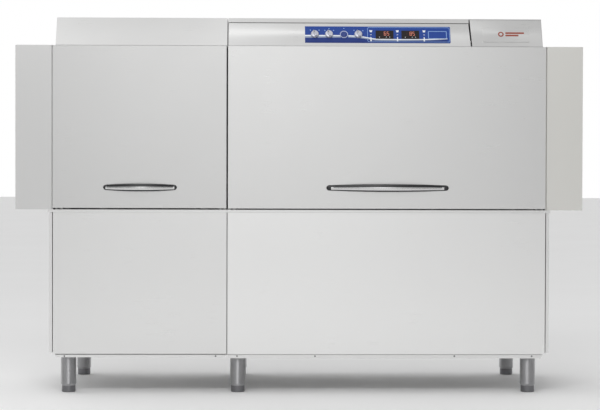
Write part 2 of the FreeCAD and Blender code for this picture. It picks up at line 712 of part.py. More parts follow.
def wash_arms():
    """Spray sets of the prewash and wash zones."""
    prewash_x = [PREWASH_RISER_X + step * 140 for step in (-1, 0, 1)]
    wash_x = [WASH_RISER_X + step * 140 for step in (-2, -1, 0, 1)]
    prewash = spray_set((PREWASH_RISER_X, RISER_R), prewash_x, WASH_TUBE_R, SHEET)
    wash = spray_set((WASH_RISER_X, RISER_R), wash_x, WASH_TUBE_R, SHEET)
    return group(prewash.Solids + wash.Solids)


# ---- Hood ----

def hood(x):
    """Hood cover: leaned-back face, top, rear and ends, open underneath.

    The face stops short of the door's top edge.
    """
    outline = [(HEADER_BOTTOM_Y, HEADER_BOTTOM_Z), (HEADER_TOP_Y, HOOD_TOP),
               (FACE, HOOD_TOP), (FACE, HEADER_BOTTOM_Z)]
    inset = SHEET / math.cos(math.radians(LEAN_DEG))
    rise = (HEADER_TOP_Y - HEADER_BOTTOM_Y) / (HOOD_TOP - HEADER_BOTTOM_Z)
    hollow = [(HEADER_BOTTOM_Y + inset - rise, HEADER_BOTTOM_Z - 1),
              (HEADER_TOP_Y + inset - rise * SHEET, HOOD_TOP - SHEET),
              (FACE - SHEET, HOOD_TOP - SHEET), (FACE - SHEET, HEADER_BOTTOM_Z - 1)]
    gap = lean(block(inside(x), (-3, 6), (-3, FASCIA_V[0])))
    return prism_x(outline, x).cut(prism_x(hollow, inside(x))).cut(gap)


def hood_right_x():
    """x range of the wash module's hood."""
    return (SEAM + MODULE_GAP / 2, HOOD_END)


def hood_right():
    """Wash hood: its face is cut away behind the fascia and the end cap."""
    x = inside(hood_right_x())
    fascia_hole = block((x[0], FASCIA_X[1] + 2), (-3, 6), (-3, FASCIA_V[1] + 3))
    cap_hole = block((FASCIA_X[1] - 4, x[1]), (-3, 6), (-3, HEADER_SLOPE - 3))
    return hood(hood_right_x()).cut(lean(fuse([fascia_hole, cap_hole])))


def face_pan(bottom, top, v):
    """Folded pan on the header face; bottom and top are its x ranges at v[0] and v[1]."""
    def plate(gap, depth):
        corners = [(bottom[0] + gap, v[0] + gap), (bottom[1] - gap, v[0] + gap),
                   (top[1] - gap, v[1] - gap), (top[0] + gap, v[1] - gap)]
        return prism_y(corners, depth)
    return plate(0, (0, FACE_PAN_DEPTH)).cut(plate(SHEET, (SHEET, FACE_PAN_DEPTH + 1)))


def control_fascia():
    """Fascia with holes for the knob spindles and the button."""
    bottom = FASCIA_X
    top = (FASCIA_X[0], FASCIA_X[1] - CAP_LEAN)
    return lean(cut_controls(face_pan(bottom, top, FASCIA_V)))


def end_cap():
    """Plain cap at the right-hand end of the header."""
    right = hood_right_x()[1] - SHEET - 0.5
    bottom = (FASCIA_X[1] + CAP_GAP, right)
    top = (FASCIA_X[1] + CAP_GAP - CAP_LEAN, right)
    return lean(face_pan(bottom, top, (FASCIA_V[0], HEADER_SLOPE - 4)))


def badge_plate():
    """Raised blank plate on the end cap."""
    plate = block(BADGE_X, (-3, 0), BADGE_V)
    edges = [e for e in plate.Edges if e.BoundBox.YLength > 2]
    return lean(plate.makeFillet(5, edges))


def cut_controls(shape):
    """Holes through the header face for the three spindles and the button."""
    for x in KNOB_X.values():
        shape = shape.cut(rod((x, -5, CONTROL_V), (x, 5, CONTROL_V), SPINDLE_R + 0.2))
    return shape.cut(rod((BUTTON_X, -5, CONTROL_V), (BUTTON_X, 5, CONTROL_V), BUTTON_R + 0.4))


def control_overlay():
    """Thin printed panel with a raised ring round the button."""
    plate = block(OVERLAY_X, (-OVERLAY_T, 0), OVERLAY_V)
    corners = [e for e in plate.Edges if e.BoundBox.YLength > OVERLAY_T / 2
               and e.BoundBox.XMin > OVERLAY_X[1] - 1]
    plate = plate.makeFillet(5, corners)
    ring = rod((BUTTON_X, -OVERLAY_T - 2, CONTROL_V), (BUTTON_X, -OVERLAY_T, CONTROL_V), KNOB_R)
    return lean(cut_controls(fuse([plate, ring])))


def knob(x):
    """Round knob with a raised pointer, on its spindle; it rests turned a little to the left."""
    base = -OVERLAY_T - 0.3
    body = Part.makeCone(KNOB_R, KNOB_R - 2, KNOB_H - 5, V(x, base, CONTROL_V), V(0, -1, 0))
    ridge = block((x - 4, x + 4), (base - KNOB_H, base - 4), (CONTROL_V - KNOB_R + 3, CONTROL_V + KNOB_R))
    ridge.rotate(V(x, 0, CONTROL_V), V(0, 1, 0), -20)
    spindle = rod((x, base - 1, CONTROL_V), (x, 9, CONTROL_V), SPINDLE_R)
    return lean(fuse([body, ridge, spindle]))


def start_button():
    """Push button in the ring between the knobs."""
    body = rod((BUTTON_X, -OVERLAY_T - 4, CONTROL_V), (BUTTON_X, 8, CONTROL_V), BUTTON_R)
    front = [e for e in body.Edges if e.BoundBox.YMax < -OVERLAY_T - 3.9]
    return lean(body.makeFillet(1.0, front))


# ---- Doors and their balance ----

def door_skin(side):
    """Outer skin folded into a pan, open at the back."""
    return pan(DOOR_X[side], (-FACE, -FACE + DOOR_THICK), (DOOR_BOTTOM[side], DOOR_TOP), "+y")


def door_liner(side):
    """Inner sheet that closes the skin, with two runners at each edge and the rope lugs."""
    back = -FACE + DOOR_THICK
    sheet = block(inside(DOOR_X[side]), (back - SHEET, back), inside((DOOR_BOTTOM[side], DOOR_TOP)))
    runners = []
    for x in CHANNEL_X[side]:
        for z in RUNNER_Z:
            neck = block((x - 4, x + 4), (back, CHANNEL_Y[0] + 4), z)
            head = block((x - 11, x + 11), (CHANNEL_Y[0] + 4, RUNNER_BACK_Y), z)
            runners.append(fuse([neck, head]))
        lug = block((x - 5, x + 5), (RUNNER_BACK_Y - 1, ROPE_Y + ROPE_R), RUNNER_Z[0])
        runners[-2] = fuse([runners[-2], lug])
    return group([sheet] + runners)


def handle(x):
    """Bowed handle: an arc in plan, and taller in the middle than at its ends."""
    middle = (x[0] + x[1]) / 2
    end_h, mid_h = HANDLE_H
    thick = 13.0
    foot = 22.0
    tall = 60.0

    def bow(offset, inset):
        start = V(x[0] + inset, -FACE, 0)
        peak = V(middle, -FACE - PROUD + offset, 0)
        end = V(x[1] - inset, -FACE, 0)
        arc = Part.Arc(start, peak, end).toShape()
        return Part.Face(Part.Wire([arc, Part.makeLine(end, start)]))

    plan = bow(0, 0).extrude(V(0, 0, tall)).cut(bow(thick, foot).extrude(V(0, 0, tall)))
    plan.translate(V(0, 0, HANDLE_Z - tall / 2))
    corners = []
    for sign in (-1, 1):
        start = V(x[0] - 0.5, -FACE - 60, HANDLE_Z + sign * end_h / 2)
        peak = V(middle, -FACE - 60, HANDLE_Z + sign * mid_h / 2)
        end = V(x[1] + 0.5, -FACE - 60, HANDLE_Z + sign * end_h / 2)
        corners.append((start, peak, end))
    low, high = corners
    outline = Part.Wire([
        Part.Arc(*low).toShape(),
        Part.makeLine(low[2], high[2]),
        Part.Arc(*high[::-1]).toShape(),
        Part.makeLine(high[0], low[0]),
    ])
    lens = Part.Face(outline).extrude(V(0, 70, 0))
    return plan.common(lens)


def door_guides():
    """Four channels behind the door edges, and the bearing brackets of the balance shafts."""
    pieces = []
    wall = 2.0
    for side in ("left", "right"):
        for x in CHANNEL_X[side]:
            outer = block((x - CHANNEL_W / 2, x + CHANNEL_W / 2), CHANNEL_Y, (RIM_TOP, DOOR_TOP - 2))
            hollow = block((x - CHANNEL_W / 2 + wall, x + CHANNEL_W / 2 - wall),
                           (CHANNEL_Y[0] + wall, CHANNEL_Y[1] - wall + 1.5), (RIM_TOP - 1, DOOR_TOP))
            slot = block((x - 6, x + 6), (CHANNEL_Y[0] - 1, CHANNEL_Y[0] + 3), (RIM_TOP - 1, DOOR_TOP))
            pieces.append(outer.cut(hollow).cut(slot))
        for x in bracket_x(side):
            plate = block((x - 3, x + 3), (SHAFT_Y - 15, SHAFT_Y + 15), (DOOR_TOP, SHAFT_Z + 15))
            bore = rod((x - 4, SHAFT_Y, SHAFT_Z), (x + 4, SHAFT_Y, SHAFT_Z), SHAFT_R + 0.06)
            pieces.append(plate.cut(bore))
    return group(pieces)


def bracket_x(side):
    """Bearing brackets stand just inside the drums."""
    first, last = CHANNEL_X[side]
    return (first + 26, last - 26)


def balance_shaft(side):
    """Shaft with a rope drum at each end and the torsion spring that carries the door."""
    first, last = CHANNEL_X[side]
    shaft = rod((first - 9, SHAFT_Y, SHAFT_Z), (last + 9, SHAFT_Y, SHAFT_Z), SHAFT_R)
    pieces = [shaft]
    for x in (first, last):
        pieces.append(rod((x - 8, SHAFT_Y, SHAFT_Z), (x + 8, SHAFT_Y, SHAFT_Z), DRUM_R))
        for flange_x in (x - 8, x + 6):
            pieces.append(rod((flange_x, SHAFT_Y, SHAFT_Z), (flange_x + 2, SHAFT_Y, SHAFT_Z),
                              DRUM_R + DRUM_FLANGE))
    spring_x = (first + 60, first + 360)
    spring = rod((spring_x[0], SHAFT_Y, SHAFT_Z), (spring_x[1], SHAFT_Y, SHAFT_Z), 16)
    spring = spring.cut(rod((spring_x[0] - 1, SHAFT_Y, SHAFT_Z), (spring_x[1] + 1, SHAFT_Y, SHAFT_Z), 11))
    plug = rod((spring_x[0] - 10, SHAFT_Y, SHAFT_Z), (spring_x[0], SHAFT_Y, SHAFT_Z), 16)
    return group([fuse(pieces + [plug]), spring])


def lift_ropes(side):
    """Two ropes, from the lower runners up to the drums."""
    low = RUNNER_Z[0][1]
    return group(rod((x, ROPE_Y, low), (x, ROPE_Y, SHAFT_Z), ROPE_R) for x in CHANNEL_X[side])


def nodes():
    """Every node of the machine, by name."""
    made = {
        "base_frame": base_frame(),
        "leg_tubes": group(leg(x, y) for x in LEG_X.values() for y in LEG_Y.values()),
        "base_trays": group([base_tray((-1015.0, SEAM - 2), 148.0), base_tray((SEAM + 2, 1015.0), 144.0)]),
        "front_panel_left": pan((-BODY_END, SEAM - PANEL_GAP / 2), (-FACE, -FACE + PAN_DEPTH),
                                (PANEL_BOTTOM_LEFT, PANEL_TOP), "+y"),
        "front_panel_right": pan((SEAM + PANEL_GAP / 2, BODY_END), (-FACE, -FACE + PAN_DEPTH),
                                 (PANEL_BOTTOM_RIGHT, PANEL_TOP), "+y"),
        "side_panels": group([side_panel(), mirror_x(side_panel())]),
        "rear_panels": rear_panels(),
        "panel_screws": panel_screws(),
        "tank_rim": tank_rim(),
        "prewash_tank": prewash_tank(),
        "wash_tank": wash_tank(),
        "strainer_trays": strainer_trays(),
        "heaters": heaters(),
        "pumps": group(pump(PREWASH_RISER_X) + pump(WASH_RISER_X)),
        "prewash_impeller": impeller(PREWASH_RISER_X),
        "wash_impeller": impeller(WASH_RISER_X),
        "pump_pipes": pump_pipes(),
        "service_connections": service_connections(),
        "chamber_left": chamber((-BODY_END, SEAM - MODULE_GAP / 2), True),
        "chamber_right": chamber((SEAM + MODULE_GAP / 2, BODY_END), False),
        "curtain_entry": curtain(-CURTAIN_X),
        "curtain_exit": curtain(CURTAIN_X),
        "entry_shroud": mirror_x(shroud()),
        "exit_shroud": shroud(),
        "rack_rails": rack_rails(),
        "shuttle_bar": shuttle_bar(),
        "drive_lever": drive_lever(),
        "gearmotor": gearmotor(),
        "wash_arms": wash_arms(),
        "rinse_arms": spray_set((RINSE_RISER_X, RINSE_RISER_R), [RINSE_RISER_X], RINSE_TUBE_R, 1.0),
        "hood_left": hood((-HOOD_END, SEAM - MODULE_GAP / 2)),
        "hood_right": hood_right(),
        "control_fascia": control_fascia(),
        "end_cap": end_cap(),
        "badge_plate": badge_plate(),
        "control_overlay": control_overlay(),
        "start_button": start_button(),
        "handle_left": handle(HANDLE_LEFT),
        "handle_right": handle(HANDLE_RIGHT),
        "door_guides": door_guides(),
    }
    for number, x in enumerate(PAWL_X, 1):
        made[f"pawl_{number}"] = pawl(x)
    for place, x in KNOB_X.items():
        made[f"knob_{place}"] = knob(x)
    for side in ("left", "right"):
        made[f"door_{side}_skin"] = door_skin(side)
        made[f"door_{side}_liner"] = door_liner(side)
        made[f"balance_shaft_{side}"] = balance_shaft(side)
        made[f"lift_ropes_{side}"] = lift_ropes(side)
    for row, y in LEG_Y.items():
        for place, x in LEG_X.items():
            made[f"foot_{row}_{place}"] = foot(x, y)
    return made


def main():
    """Write one STEP file for each node."""
    os.makedirs("parts", exist_ok=True)
    for name, shape in nodes().items():
        if not shape.isValid():
            raise ValueError(f"{name} isn't a valid shape")
        shape.exportStep(f"parts/{name}.step")


main()
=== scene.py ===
import math
import random

import bmesh
import bpy
from mathutils import Matrix, Vector


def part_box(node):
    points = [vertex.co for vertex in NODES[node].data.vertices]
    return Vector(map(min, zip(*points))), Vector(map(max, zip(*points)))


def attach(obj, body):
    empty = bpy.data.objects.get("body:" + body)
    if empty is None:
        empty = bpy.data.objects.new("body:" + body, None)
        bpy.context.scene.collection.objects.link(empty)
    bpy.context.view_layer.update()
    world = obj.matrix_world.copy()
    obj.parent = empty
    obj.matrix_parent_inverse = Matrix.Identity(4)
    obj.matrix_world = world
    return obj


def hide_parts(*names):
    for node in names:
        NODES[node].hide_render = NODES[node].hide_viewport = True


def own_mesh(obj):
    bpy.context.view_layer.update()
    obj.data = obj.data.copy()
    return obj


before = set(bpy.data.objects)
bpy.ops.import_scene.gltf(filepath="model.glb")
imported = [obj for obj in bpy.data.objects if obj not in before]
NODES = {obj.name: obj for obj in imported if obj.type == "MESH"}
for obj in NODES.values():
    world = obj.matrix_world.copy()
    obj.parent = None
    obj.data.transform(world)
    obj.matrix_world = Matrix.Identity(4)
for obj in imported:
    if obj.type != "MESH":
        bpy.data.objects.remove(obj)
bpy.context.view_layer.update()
MM = 0.001
random.seed(7)

# Camera: nearly square-on to the front
CAMERA_AT = Vector((-0.16, -7.885, 0.916))
YAW, PITCH, ROLL = (math.radians(a) for a in (-1.228, -1.013, -0.151))
LENS_MM = 108.3
SENSOR_MM = 36.0

# World light: how bright each part of the studio is
FRONT_DIM, FRONT_GLOW, FRONT_MIDDLE, FRONT_WIDTH = 0.25, 1.70, -0.01, 0.12
SIDE_DIM, DOME, ZENITH, BACK_DOME = 0.18, 0.62, 1.15, 0.75

# World light: the spans of x, y or z of a unit direction over which one part turns into the next
TO_SIDE = (0.35, 0.75)
TO_BACK = (0.15, 0.75)
TO_DOME = (0.18, 0.55)
TO_ZENITH = (0.84, 0.95)
TO_DIM_RIGHT = (0.13, 0.30)
DIM_RIGHT = 0.5

# Key light: place, target, size in metres and watts
KEY_AT, KEY_TOWARD, KEY_SIZE, KEY_POWER = (-0.7, -4.6, 4.2), (0, -0.4, 0.6), (3.0, 2.0), 95
FLOOR_HALF = 60.0

# Colours, linear
STEEL = (0.70, 0.70, 0.695)
STEEL_DARK = (0.42, 0.42, 0.42)
WHITE_INK = (0.86, 0.90, 0.95)
PALE_BLUE = (0.26, 0.42, 0.75)
ROYAL_BLUE = (0.016, 0.062, 0.32)
DEEP_BLUE = (0.012, 0.038, 0.22)
GREY_INK = (0.30, 0.36, 0.50)
RED_GLOW = (0.80, 0.26, 0.19)
RED_INK = (0.34, 0.075, 0.045)


# ---- Materials ----

# The span that noise mostly fills, the pointiness of edges painted lighter (partly wear, partly a painted
# highlight), and relief in metres
NOISE_SPAN = (0.25, 0.75)
EDGE_WEAR_AND_HIGHLIGHT = (0.52, 0.60)
FINE = 0.0001

# Scale of the brushing along and across its grain
BRUSH_ALONG, BRUSH_ACROSS = 6.0, 900.0


class Shader:
    """A material with a Principled shader and short ways to add nodes to it."""

    def __init__(self, name, base, metallic=0.0, roughness=0.5, **constants):
        self.material = bpy.data.materials.new(name)
        self.material.use_nodes = True
        self.tree = self.material.node_tree
        self.surface = self.tree.nodes["Principled BSDF"]
        self.set("Base Color", (*base, 1.0))
        self.set("Metallic", metallic)
        self.set("Roughness", roughness)
        for socket, value in constants.items():
            self.set(socket.replace("_", " ").title().replace("Ior", "IOR"), value)
        self.material.diffuse_color = (*base, 1.0)

    def set(self, socket, value):
        """A constant on the shader's own socket."""
        self.surface.inputs[socket].default_value = value

    def node(self, kind, **inputs):
        """A node whose inputs are sockets to link or plain values."""
        made = self.tree.nodes.new(kind)
        for key, value in inputs.items():
            socket = made.inputs[key.replace("_", " ")]
            if isinstance(value, bpy.types.NodeSocket):
                self.tree.links.new(value, socket)
            else:
                socket.default_value = value
        return made

    def coords(self, stretch):
        """Places on the object, scaled along each axis."""
        place = self.node("ShaderNodeTexCoord").outputs["Object"]
        return self.node("ShaderNodeMapping", Vector=place, Scale=stretch).outputs["Vector"]

    def noise(self, scale, stretch=(1.0, 1.0, 1.0), detail=3.0):
        """Noise around 0.5, mostly within NOISE_SPAN."""
        return self.node("ShaderNodeTexNoise", Vector=self.coords(stretch), Scale=scale,
                         Detail=detail).outputs["Fac"]

    def spread(self, value, low, high, span=NOISE_SPAN):
        """A value that lies in a span moved into the range from low to high."""
        made = self.node("ShaderNodeMapRange", Value=value)
        for name, setting in zip(("From Min", "From Max", "To Min", "To Max"), (*span, low, high)):
            made.inputs[name].default_value = setting
        return made.outputs["Result"]

    def mix(self, factor, first, second):
        """From the first colour to the second as the factor goes from 0 to 1."""
        made = self.tree.nodes.new("ShaderNodeMix")
        made.data_type = "RGBA"
        factor_in, first_in, second_in = (made.inputs[index] for index in (0, 6, 7))
        self.tree.links.new(factor, factor_in)
        for value, socket in ((first, first_in), (second, second_in)):
            if isinstance(value, bpy.types.NodeSocket):
                self.tree.links.new(value, socket)
            else:
                socket.default_value = (*value, 1.0)
        return made.outputs[2]

    def math(self, operation, first, second=0.0):
        made = self.tree.nodes.new("ShaderNodeMath")
        made.operation = operation
        for index, value in enumerate((first, second)):
            if isinstance(value, bpy.types.NodeSocket):
                self.tree.links.new(value, made.inputs[index])
            else:
                made.inputs[index].default_value = value
        return made.outputs[0]

    def colour(self, socket):
        self.tree.links.new(socket, self.surface.inputs["Base Color"])

    def rough(self, socket):
        self.tree.links.new(socket, self.surface.inputs["Roughness"])

    def bump(self, height, strength, distance):
        made = self.node("ShaderNodeBump", Height=height, Strength=strength, Distance=distance)
        self.tree.links.new(made.outputs["Normal"], self.surface.inputs["Normal"])


def shade(colour, factor):
    """A colour made darker or brighter."""
    return tuple(min(1.0, c * factor) for c in colour)


def steel(name, base=STEEL, roughness=0.28, grain="x", tone=0.012, relief=0.004):
    """Brushed sheet: fine streaks along the grain, faint clouds and smears; sharp edges painted lighter,
    partly wear and partly a painted highlight.
    """
    made = Shader(name, base, metallic=1.0, roughness=roughness, anisotropic=0.35)
    stretch = [BRUSH_ALONG if axis == grain else BRUSH_ACROSS for axis in "xyz"]
    streaks = made.noise(1.0, stretch, detail=2.0)
    clouds = made.noise(2.2)
    smears = made.noise(9.0, detail=4.0)
    tint = made.mix(made.spread(clouds, 0.0, 1.0), shade(base, 1 - tone), shade(base, 1 + tone))
    tint = made.mix(made.spread(streaks, 0.0, 0.06), tint, shade(base, 0.94))
    # Sharp edges painted lighter: partly wear, partly a painted edge highlight
    edges = made.node("ShaderNodeNewGeometry").outputs["Pointiness"]
    wear_and_highlight = made.spread(edges, 0.0, 0.5, span=EDGE_WEAR_AND_HIGHLIGHT)
    made.colour(made.mix(wear_and_highlight, tint, shade(base, 1.2)))
    rough = made.spread(streaks, roughness - 0.006, roughness + 0.008)
    made.rough(made.math("ADD", rough, made.spread(smears, -0.004, 0.006)))
    made.bump(streaks, relief, FINE)
    return made.material


def polished(name, base, roughness, **constants):
    """Polished tube with faint turning lines and handling marks."""
    made = Shader(name, base, metallic=1.0, roughness=roughness, **constants)
    lines = made.noise(1.0, (6.0, 6.0, 700.0), detail=2.0)
    marks = made.noise(30.0, detail=5.0)
    made.colour(made.mix(made.spread(marks, 0.0, 0.3), base, shade(base, 0.85)))
    made.rough(made.math("ADD", made.spread(lines, roughness - 0.02, roughness + 0.05),
                         made.spread(marks, 0.0, 0.04)))
    made.bump(lines, 0.04, FINE)
    return made.material


def plastic(name, base, roughness=0.4, grain=900.0, relief=0.12, **constants):
    """Moulded plastic or rubber: fine texture, slight mottling and duller patches."""
    made = Shader(name, base, roughness=roughness, **constants)
    mottle = made.noise(14.0, detail=4.0)
    pores = made.noise(grain, detail=1.0)
    made.colour(made.mix(made.spread(mottle, 0.0, 1.0), shade(base, 0.92), shade(base, 1.08)))
    made.rough(made.spread(mottle, roughness - 0.05, roughness + 0.07))
    made.bump(pores, relief, FINE)
    return made.material


def ink(name, base, glow=0.0):
    """Screen-printed ink under a clear film, a little uneven in density."""
    made = Shader(name, base, roughness=0.4, specular_ior_level=0.3)
    density = made.noise(260.0, detail=3.0)
    made.colour(made.mix(made.spread(density, 0.0, 1.0), shade(base, 0.93), shade(base, 1.05)))
    made.bump(density, 0.03, FINE / 2)
    if glow:
        made.set("Emission Color", (*base, 1.0))
        made.set("Emission Strength", glow)
    return made.material


def cast(name, base, roughness=0.5):
    """Painted casting with an orange-peel skin and darker patches at random."""
    made = Shader(name, base, roughness=roughness, coat_weight=0.2, coat_roughness=0.3)
    peel = made.noise(240.0, detail=2.0)
    grime = made.noise(11.0, detail=5.0)
    made.colour(made.mix(made.spread(grime, 0.0, 0.6), base, shade(base, 0.6)))
    made.rough(made.spread(grime, roughness - 0.08, roughness + 0.1))
    made.bump(peel, 0.2, 4 * FINE)
    return made.material


MAT = {
    "sheet": steel("satin_sheet"),
    "sheet_up": steel("satin_sheet_upright", grain="z"),
    # Painted light: a brighter copy of the sheet, for the right front panel
    "painted_lit_sheet": steel("satin_sheet_painted_lit", base=shade(STEEL, 1.08)),
    # Painted shade: a darker copy of the sheet, for the left door
    "left_door": steel("left_door_sheet", base=shade(STEEL, 0.85)),
    "hood_sheet": steel("hood_sheet"),
    # Painted shade: a darker copy of the sheet, for the right door
    "door_sheet": steel("door_sheet", base=shade(STEEL, 0.92)),
    # Rear sheet darker and rougher: partly a plainer finish, partly painted shade
    "rear_sheet": steel("rear_sheet", base=shade(STEEL, 0.70), roughness=0.36, grain="z"),
    # Painted shade: a slightly darker copy of the sheet, for the control fascia
    "header_painted_shade_sheet": steel("header_painted_shade_sheet", base=shade(STEEL, 0.98)),
    # Painted shade: the entry shroud is a darker copy of the sheet; the exit shroud below is a
    # warmer-tinted copy
    "shroud": steel("shroud_sheet", base=shade(STEEL, 0.93), roughness=0.42, grain="z"),
    "shroud_warm": steel("shroud_sheet_warm", base=(0.70, 0.694, 0.665), roughness=0.42, grain="z"),
    # Painted shade: a darker copy of the sheet for the chamber, tanks and other inner parts, standing in
    # for their dim inside
    "inside": steel("chamber_painted_shade_sheet", base=shade(STEEL, 0.55), roughness=0.38, grain="z"),
    "frame": steel("mill_tube", base=STEEL_DARK, roughness=0.45, grain="x"),
    "tube": polished("polished_tube", base=(0.47, 0.47, 0.48), roughness=0.40, anisotropic=0.9,
                     anisotropic_rotation=0.25),
    "foot": polished("foot_steel", base=(0.22, 0.22, 0.23), roughness=0.28),
    "shaft": polished("ground_shaft", base=(0.5, 0.5, 0.5), roughness=0.22),
    "chrome": polished("bright_chrome", base=(0.66, 0.66, 0.66), roughness=0.24),
    # Painted dark reflection and shade: the handle bar's dark body
    "grip": plastic("dark_bar_painted_reflection", (0.022, 0.022, 0.024), roughness=0.32, specular_ior_level=0.4),
    "rubber": plastic("dark_seal", (0.03, 0.03, 0.032), roughness=0.6),
    "casting": cast("painted_casting", (0.16, 0.18, 0.21)),
    "moulding": plastic("dark_moulding", (0.04, 0.04, 0.045)),
    "pipe": plastic("grey_pipe", (0.30, 0.31, 0.32)),
    "brass": polished("turned_brass", base=(0.62, 0.48, 0.24), roughness=0.25),
    "curtain": plastic("curtain_strip", (0.32, 0.37, 0.40), roughness=0.45, grain=300.0,
                       transmission_weight=0.15),
    "film": ink("blue_film", ROYAL_BLUE),
    "film_low": ink("blue_film_low", DEEP_BLUE),
    "button": plastic("blue_button", DEEP_BLUE, roughness=0.25, coat_weight=0.5),
    "knob": plastic("silver_knob", (0.60, 0.61, 0.68), roughness=0.3, metallic=0.4),
    "white": ink("white_ink", WHITE_INK),
    "pale": ink("pale_blue_ink", PALE_BLUE),
    "grey": ink("grey_ink", GREY_INK),
    "red": ink("red_ink", RED_INK),
    "lavender": ink("pale_ring", (0.55, 0.60, 0.78)),
    "unlit": ink("unlit_segment", (0.035, 0.008, 0.008)),
    "window": plastic("display_window", (0.014, 0.010, 0.010), roughness=0.3, relief=0.02,
                      specular_ior_level=0.3),
    "digit": ink("lit_segment", RED_GLOW, glow=0.35),
    "lamp": ink("lit_lamp", WHITE_INK, glow=0.1),
}

# The material of each CAD node; the levelling feet are steel, and the rest is satin sheet
NODE_LOOK = {
    "base_frame": "frame", "leg_tubes": "tube", "base_trays": "sheet", "panel_screws": "foot",
    "front_panel_left": "sheet", "front_panel_right": "painted_lit_sheet", "side_panels": "sheet_up",
    "rear_panels": "rear_sheet", "tank_rim": "sheet", "prewash_tank": "inside", "wash_tank": "inside",
    "strainer_trays": "inside", "heaters": "inside", "pumps": "casting", "gearmotor": "casting",
    "prewash_impeller": "moulding", "wash_impeller": "moulding", "pump_pipes": "pipe",
    "service_connections": "brass", "chamber_left": "inside", "chamber_right": "inside",
    "entry_shroud": "shroud", "exit_shroud": "shroud_warm", "rack_rails": "inside",
    "shuttle_bar": "inside", "drive_lever": "inside", "wash_arms": "tube", "rinse_arms": "tube",
    "hood_left": "hood_sheet", "hood_right": "hood_sheet", "control_fascia": "header_painted_shade_sheet",
    "end_cap": "sheet", "badge_plate": "sheet", "control_overlay": "film", "start_button": "button",
    "door_guides": "inside", "pawl_1": "shaft", "pawl_2": "shaft", "pawl_3": "shaft",
    "door_left_skin": "left_door", "door_right_skin": "door_sheet", "door_left_liner": "inside",
    "door_right_liner": "inside", "balance_shaft_left": "shaft", "balance_shaft_right": "shaft",
}

# Width in millimetres of the soft edge of each CAD node that has one
SOFT_EDGES = {
    "door_left_skin": 1.6, "door_right_skin": 1.6, "front_panel_left": 1.6, "front_panel_right": 1.6,
    "side_panels": 1.5, "tank_rim": 1.2, "hood_left": 1.4, "hood_right": 1.4, "control_fascia": 1.0,
    "end_cap": 1.2, "badge_plate": 0.8, "entry_shroud": 0.6, "exit_shroud": 0.6, "base_trays": 0.6,
    "rear_panels": 1.2, "control_overlay": 0.3, "shuttle_bar": 0.8, "gearmotor": 3.0, "rack_rails": 0.5,
    "drive_lever": 1.0, "pawl_1": 0.6, "pawl_2": 0.6, "pawl_3": 0.6,
}


def soft_edges(thing, width, segments):
    """A bevel on the sharp edges of an object."""
    soften = thing.modifiers.new("soft_edges", "BEVEL")
    soften.width = width
    soften.segments = segments
    soften.limit_method = "ANGLE"
    return soften


def dress_nodes():
    """Give every shown CAD node its material, and soft edges where light should catch."""
    for name, node in NODES.items():
        look = NODE_LOOK.get(name, "foot" if name.startswith("foot_") else "sheet")
        node.data.materials.clear()
        node.data.materials.append(MAT[look])
        if name in SOFT_EDGES:
            soften = soft_edges(node, SOFT_EDGES[name] * MM, 3)
            soften.angle_limit = math.radians(50)
            soften.harden_normals = True


# ---- Mesh helpers ----

def piece(name, verts, faces, look, body, slot, smooth=True, bevel=0.0):
    """A mesh object that rides on a CAD body."""
    mesh = bpy.data.meshes.new(name)
    mesh.from_pydata([tuple(v) for v in verts], [], faces)
    fix = bmesh.new()
    fix.from_mesh(mesh)
    bmesh.ops.recalc_face_normals(fix, faces=fix.faces)
    fix.to_mesh(mesh)
    fix.free()
    mesh.materials.append(MAT[look])
    made = bpy.data.objects.new(name, mesh)
    bpy.context.scene.collection.objects.link(made)
    if smooth:
        mesh.shade_smooth()
        mesh.set_sharp_from_angle(angle=math.radians(38))
    if bevel:
        soft_edges(made, bevel, 2)
    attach(made, body)
    return made


def rings_to_mesh(rings, closed=False):
    """Vertices and faces through rings of the same count; ends capped unless closed on itself."""
    count = len(rings[0])
    verts = [v for ring in rings for v in ring]
    faces = []
    last = len(rings) if closed else len(rings) - 1
    for i in range(last):
        a, b = i * count, ((i + 1) % len(rings)) * count
        for j in range(count):
            k = (j + 1) % count
            faces.append((a + j, a + k, b + k, b + j))
    if not closed:
        faces.append(tuple(reversed(range(count))))
        faces.append(tuple(range((len(rings) - 1) * count, len(rings) * count)))
    return verts, faces


def merge(parts):
    """Join lists of (vertices, faces) into one."""
    verts, faces = [], []
    for part_verts, part_faces in parts:
        start = len(verts)
        verts += list(part_verts)
        faces += [tuple(i + start for i in face) for face in part_faces]
    return verts, faces


def turned(profile, centre, axis, across, steps):
    """Solid of revolution: profile holds (distance along axis, radius) pairs."""
    side = axis.cross(across).normalized()
    turns = [2 * math.pi * i / steps for i in range(steps)]
    rings = []
    for along, radius in profile:
        rings.append([centre + axis * along + (across * math.cos(turn) + side * math.sin(turn)) * radius
                      for turn in turns])
    return rings_to_mesh(rings)


def cuboid(a, b):
    """Vertices and faces of a box between two corners."""
    verts = [Vector((x, y, z)) for z in (a[2], b[2]) for y in (a[1], b[1]) for x in (a[0], b[0])]
    faces = [(0, 1, 3, 2), (4, 5, 7, 6), (0, 1, 5, 4), (2, 3, 7, 6), (0, 2, 6, 4), (1, 3, 7, 5)]
    return verts, faces


# ---- The header's leaning plane, in millimetres from the overlay's lower left corner ----

def header_plane():
    """Corner, right, up-slope and outward directions of the control overlay's front face."""
    mesh = NODES["control_overlay"].data
    face = max(mesh.polygons, key=lambda f: f.area * (f.normal.y < -0.5))
    outward = face.normal.copy()
    right = Vector((1.0, 0.0, 0.0))
    up = outward.cross(right) * -1.0
    if up.z < 0:
        up.negate()
    points = [mesh.vertices[i].co for i in face.vertices]
    height = points[0].dot(outward)
    low = min(v.co.dot(up) for v in mesh.vertices)
    left = min(v.co.x for v in mesh.vertices)
    return right * left + up * low + outward * height, right, up, outward


CORNER, RIGHT, UP, OUT = header_plane()

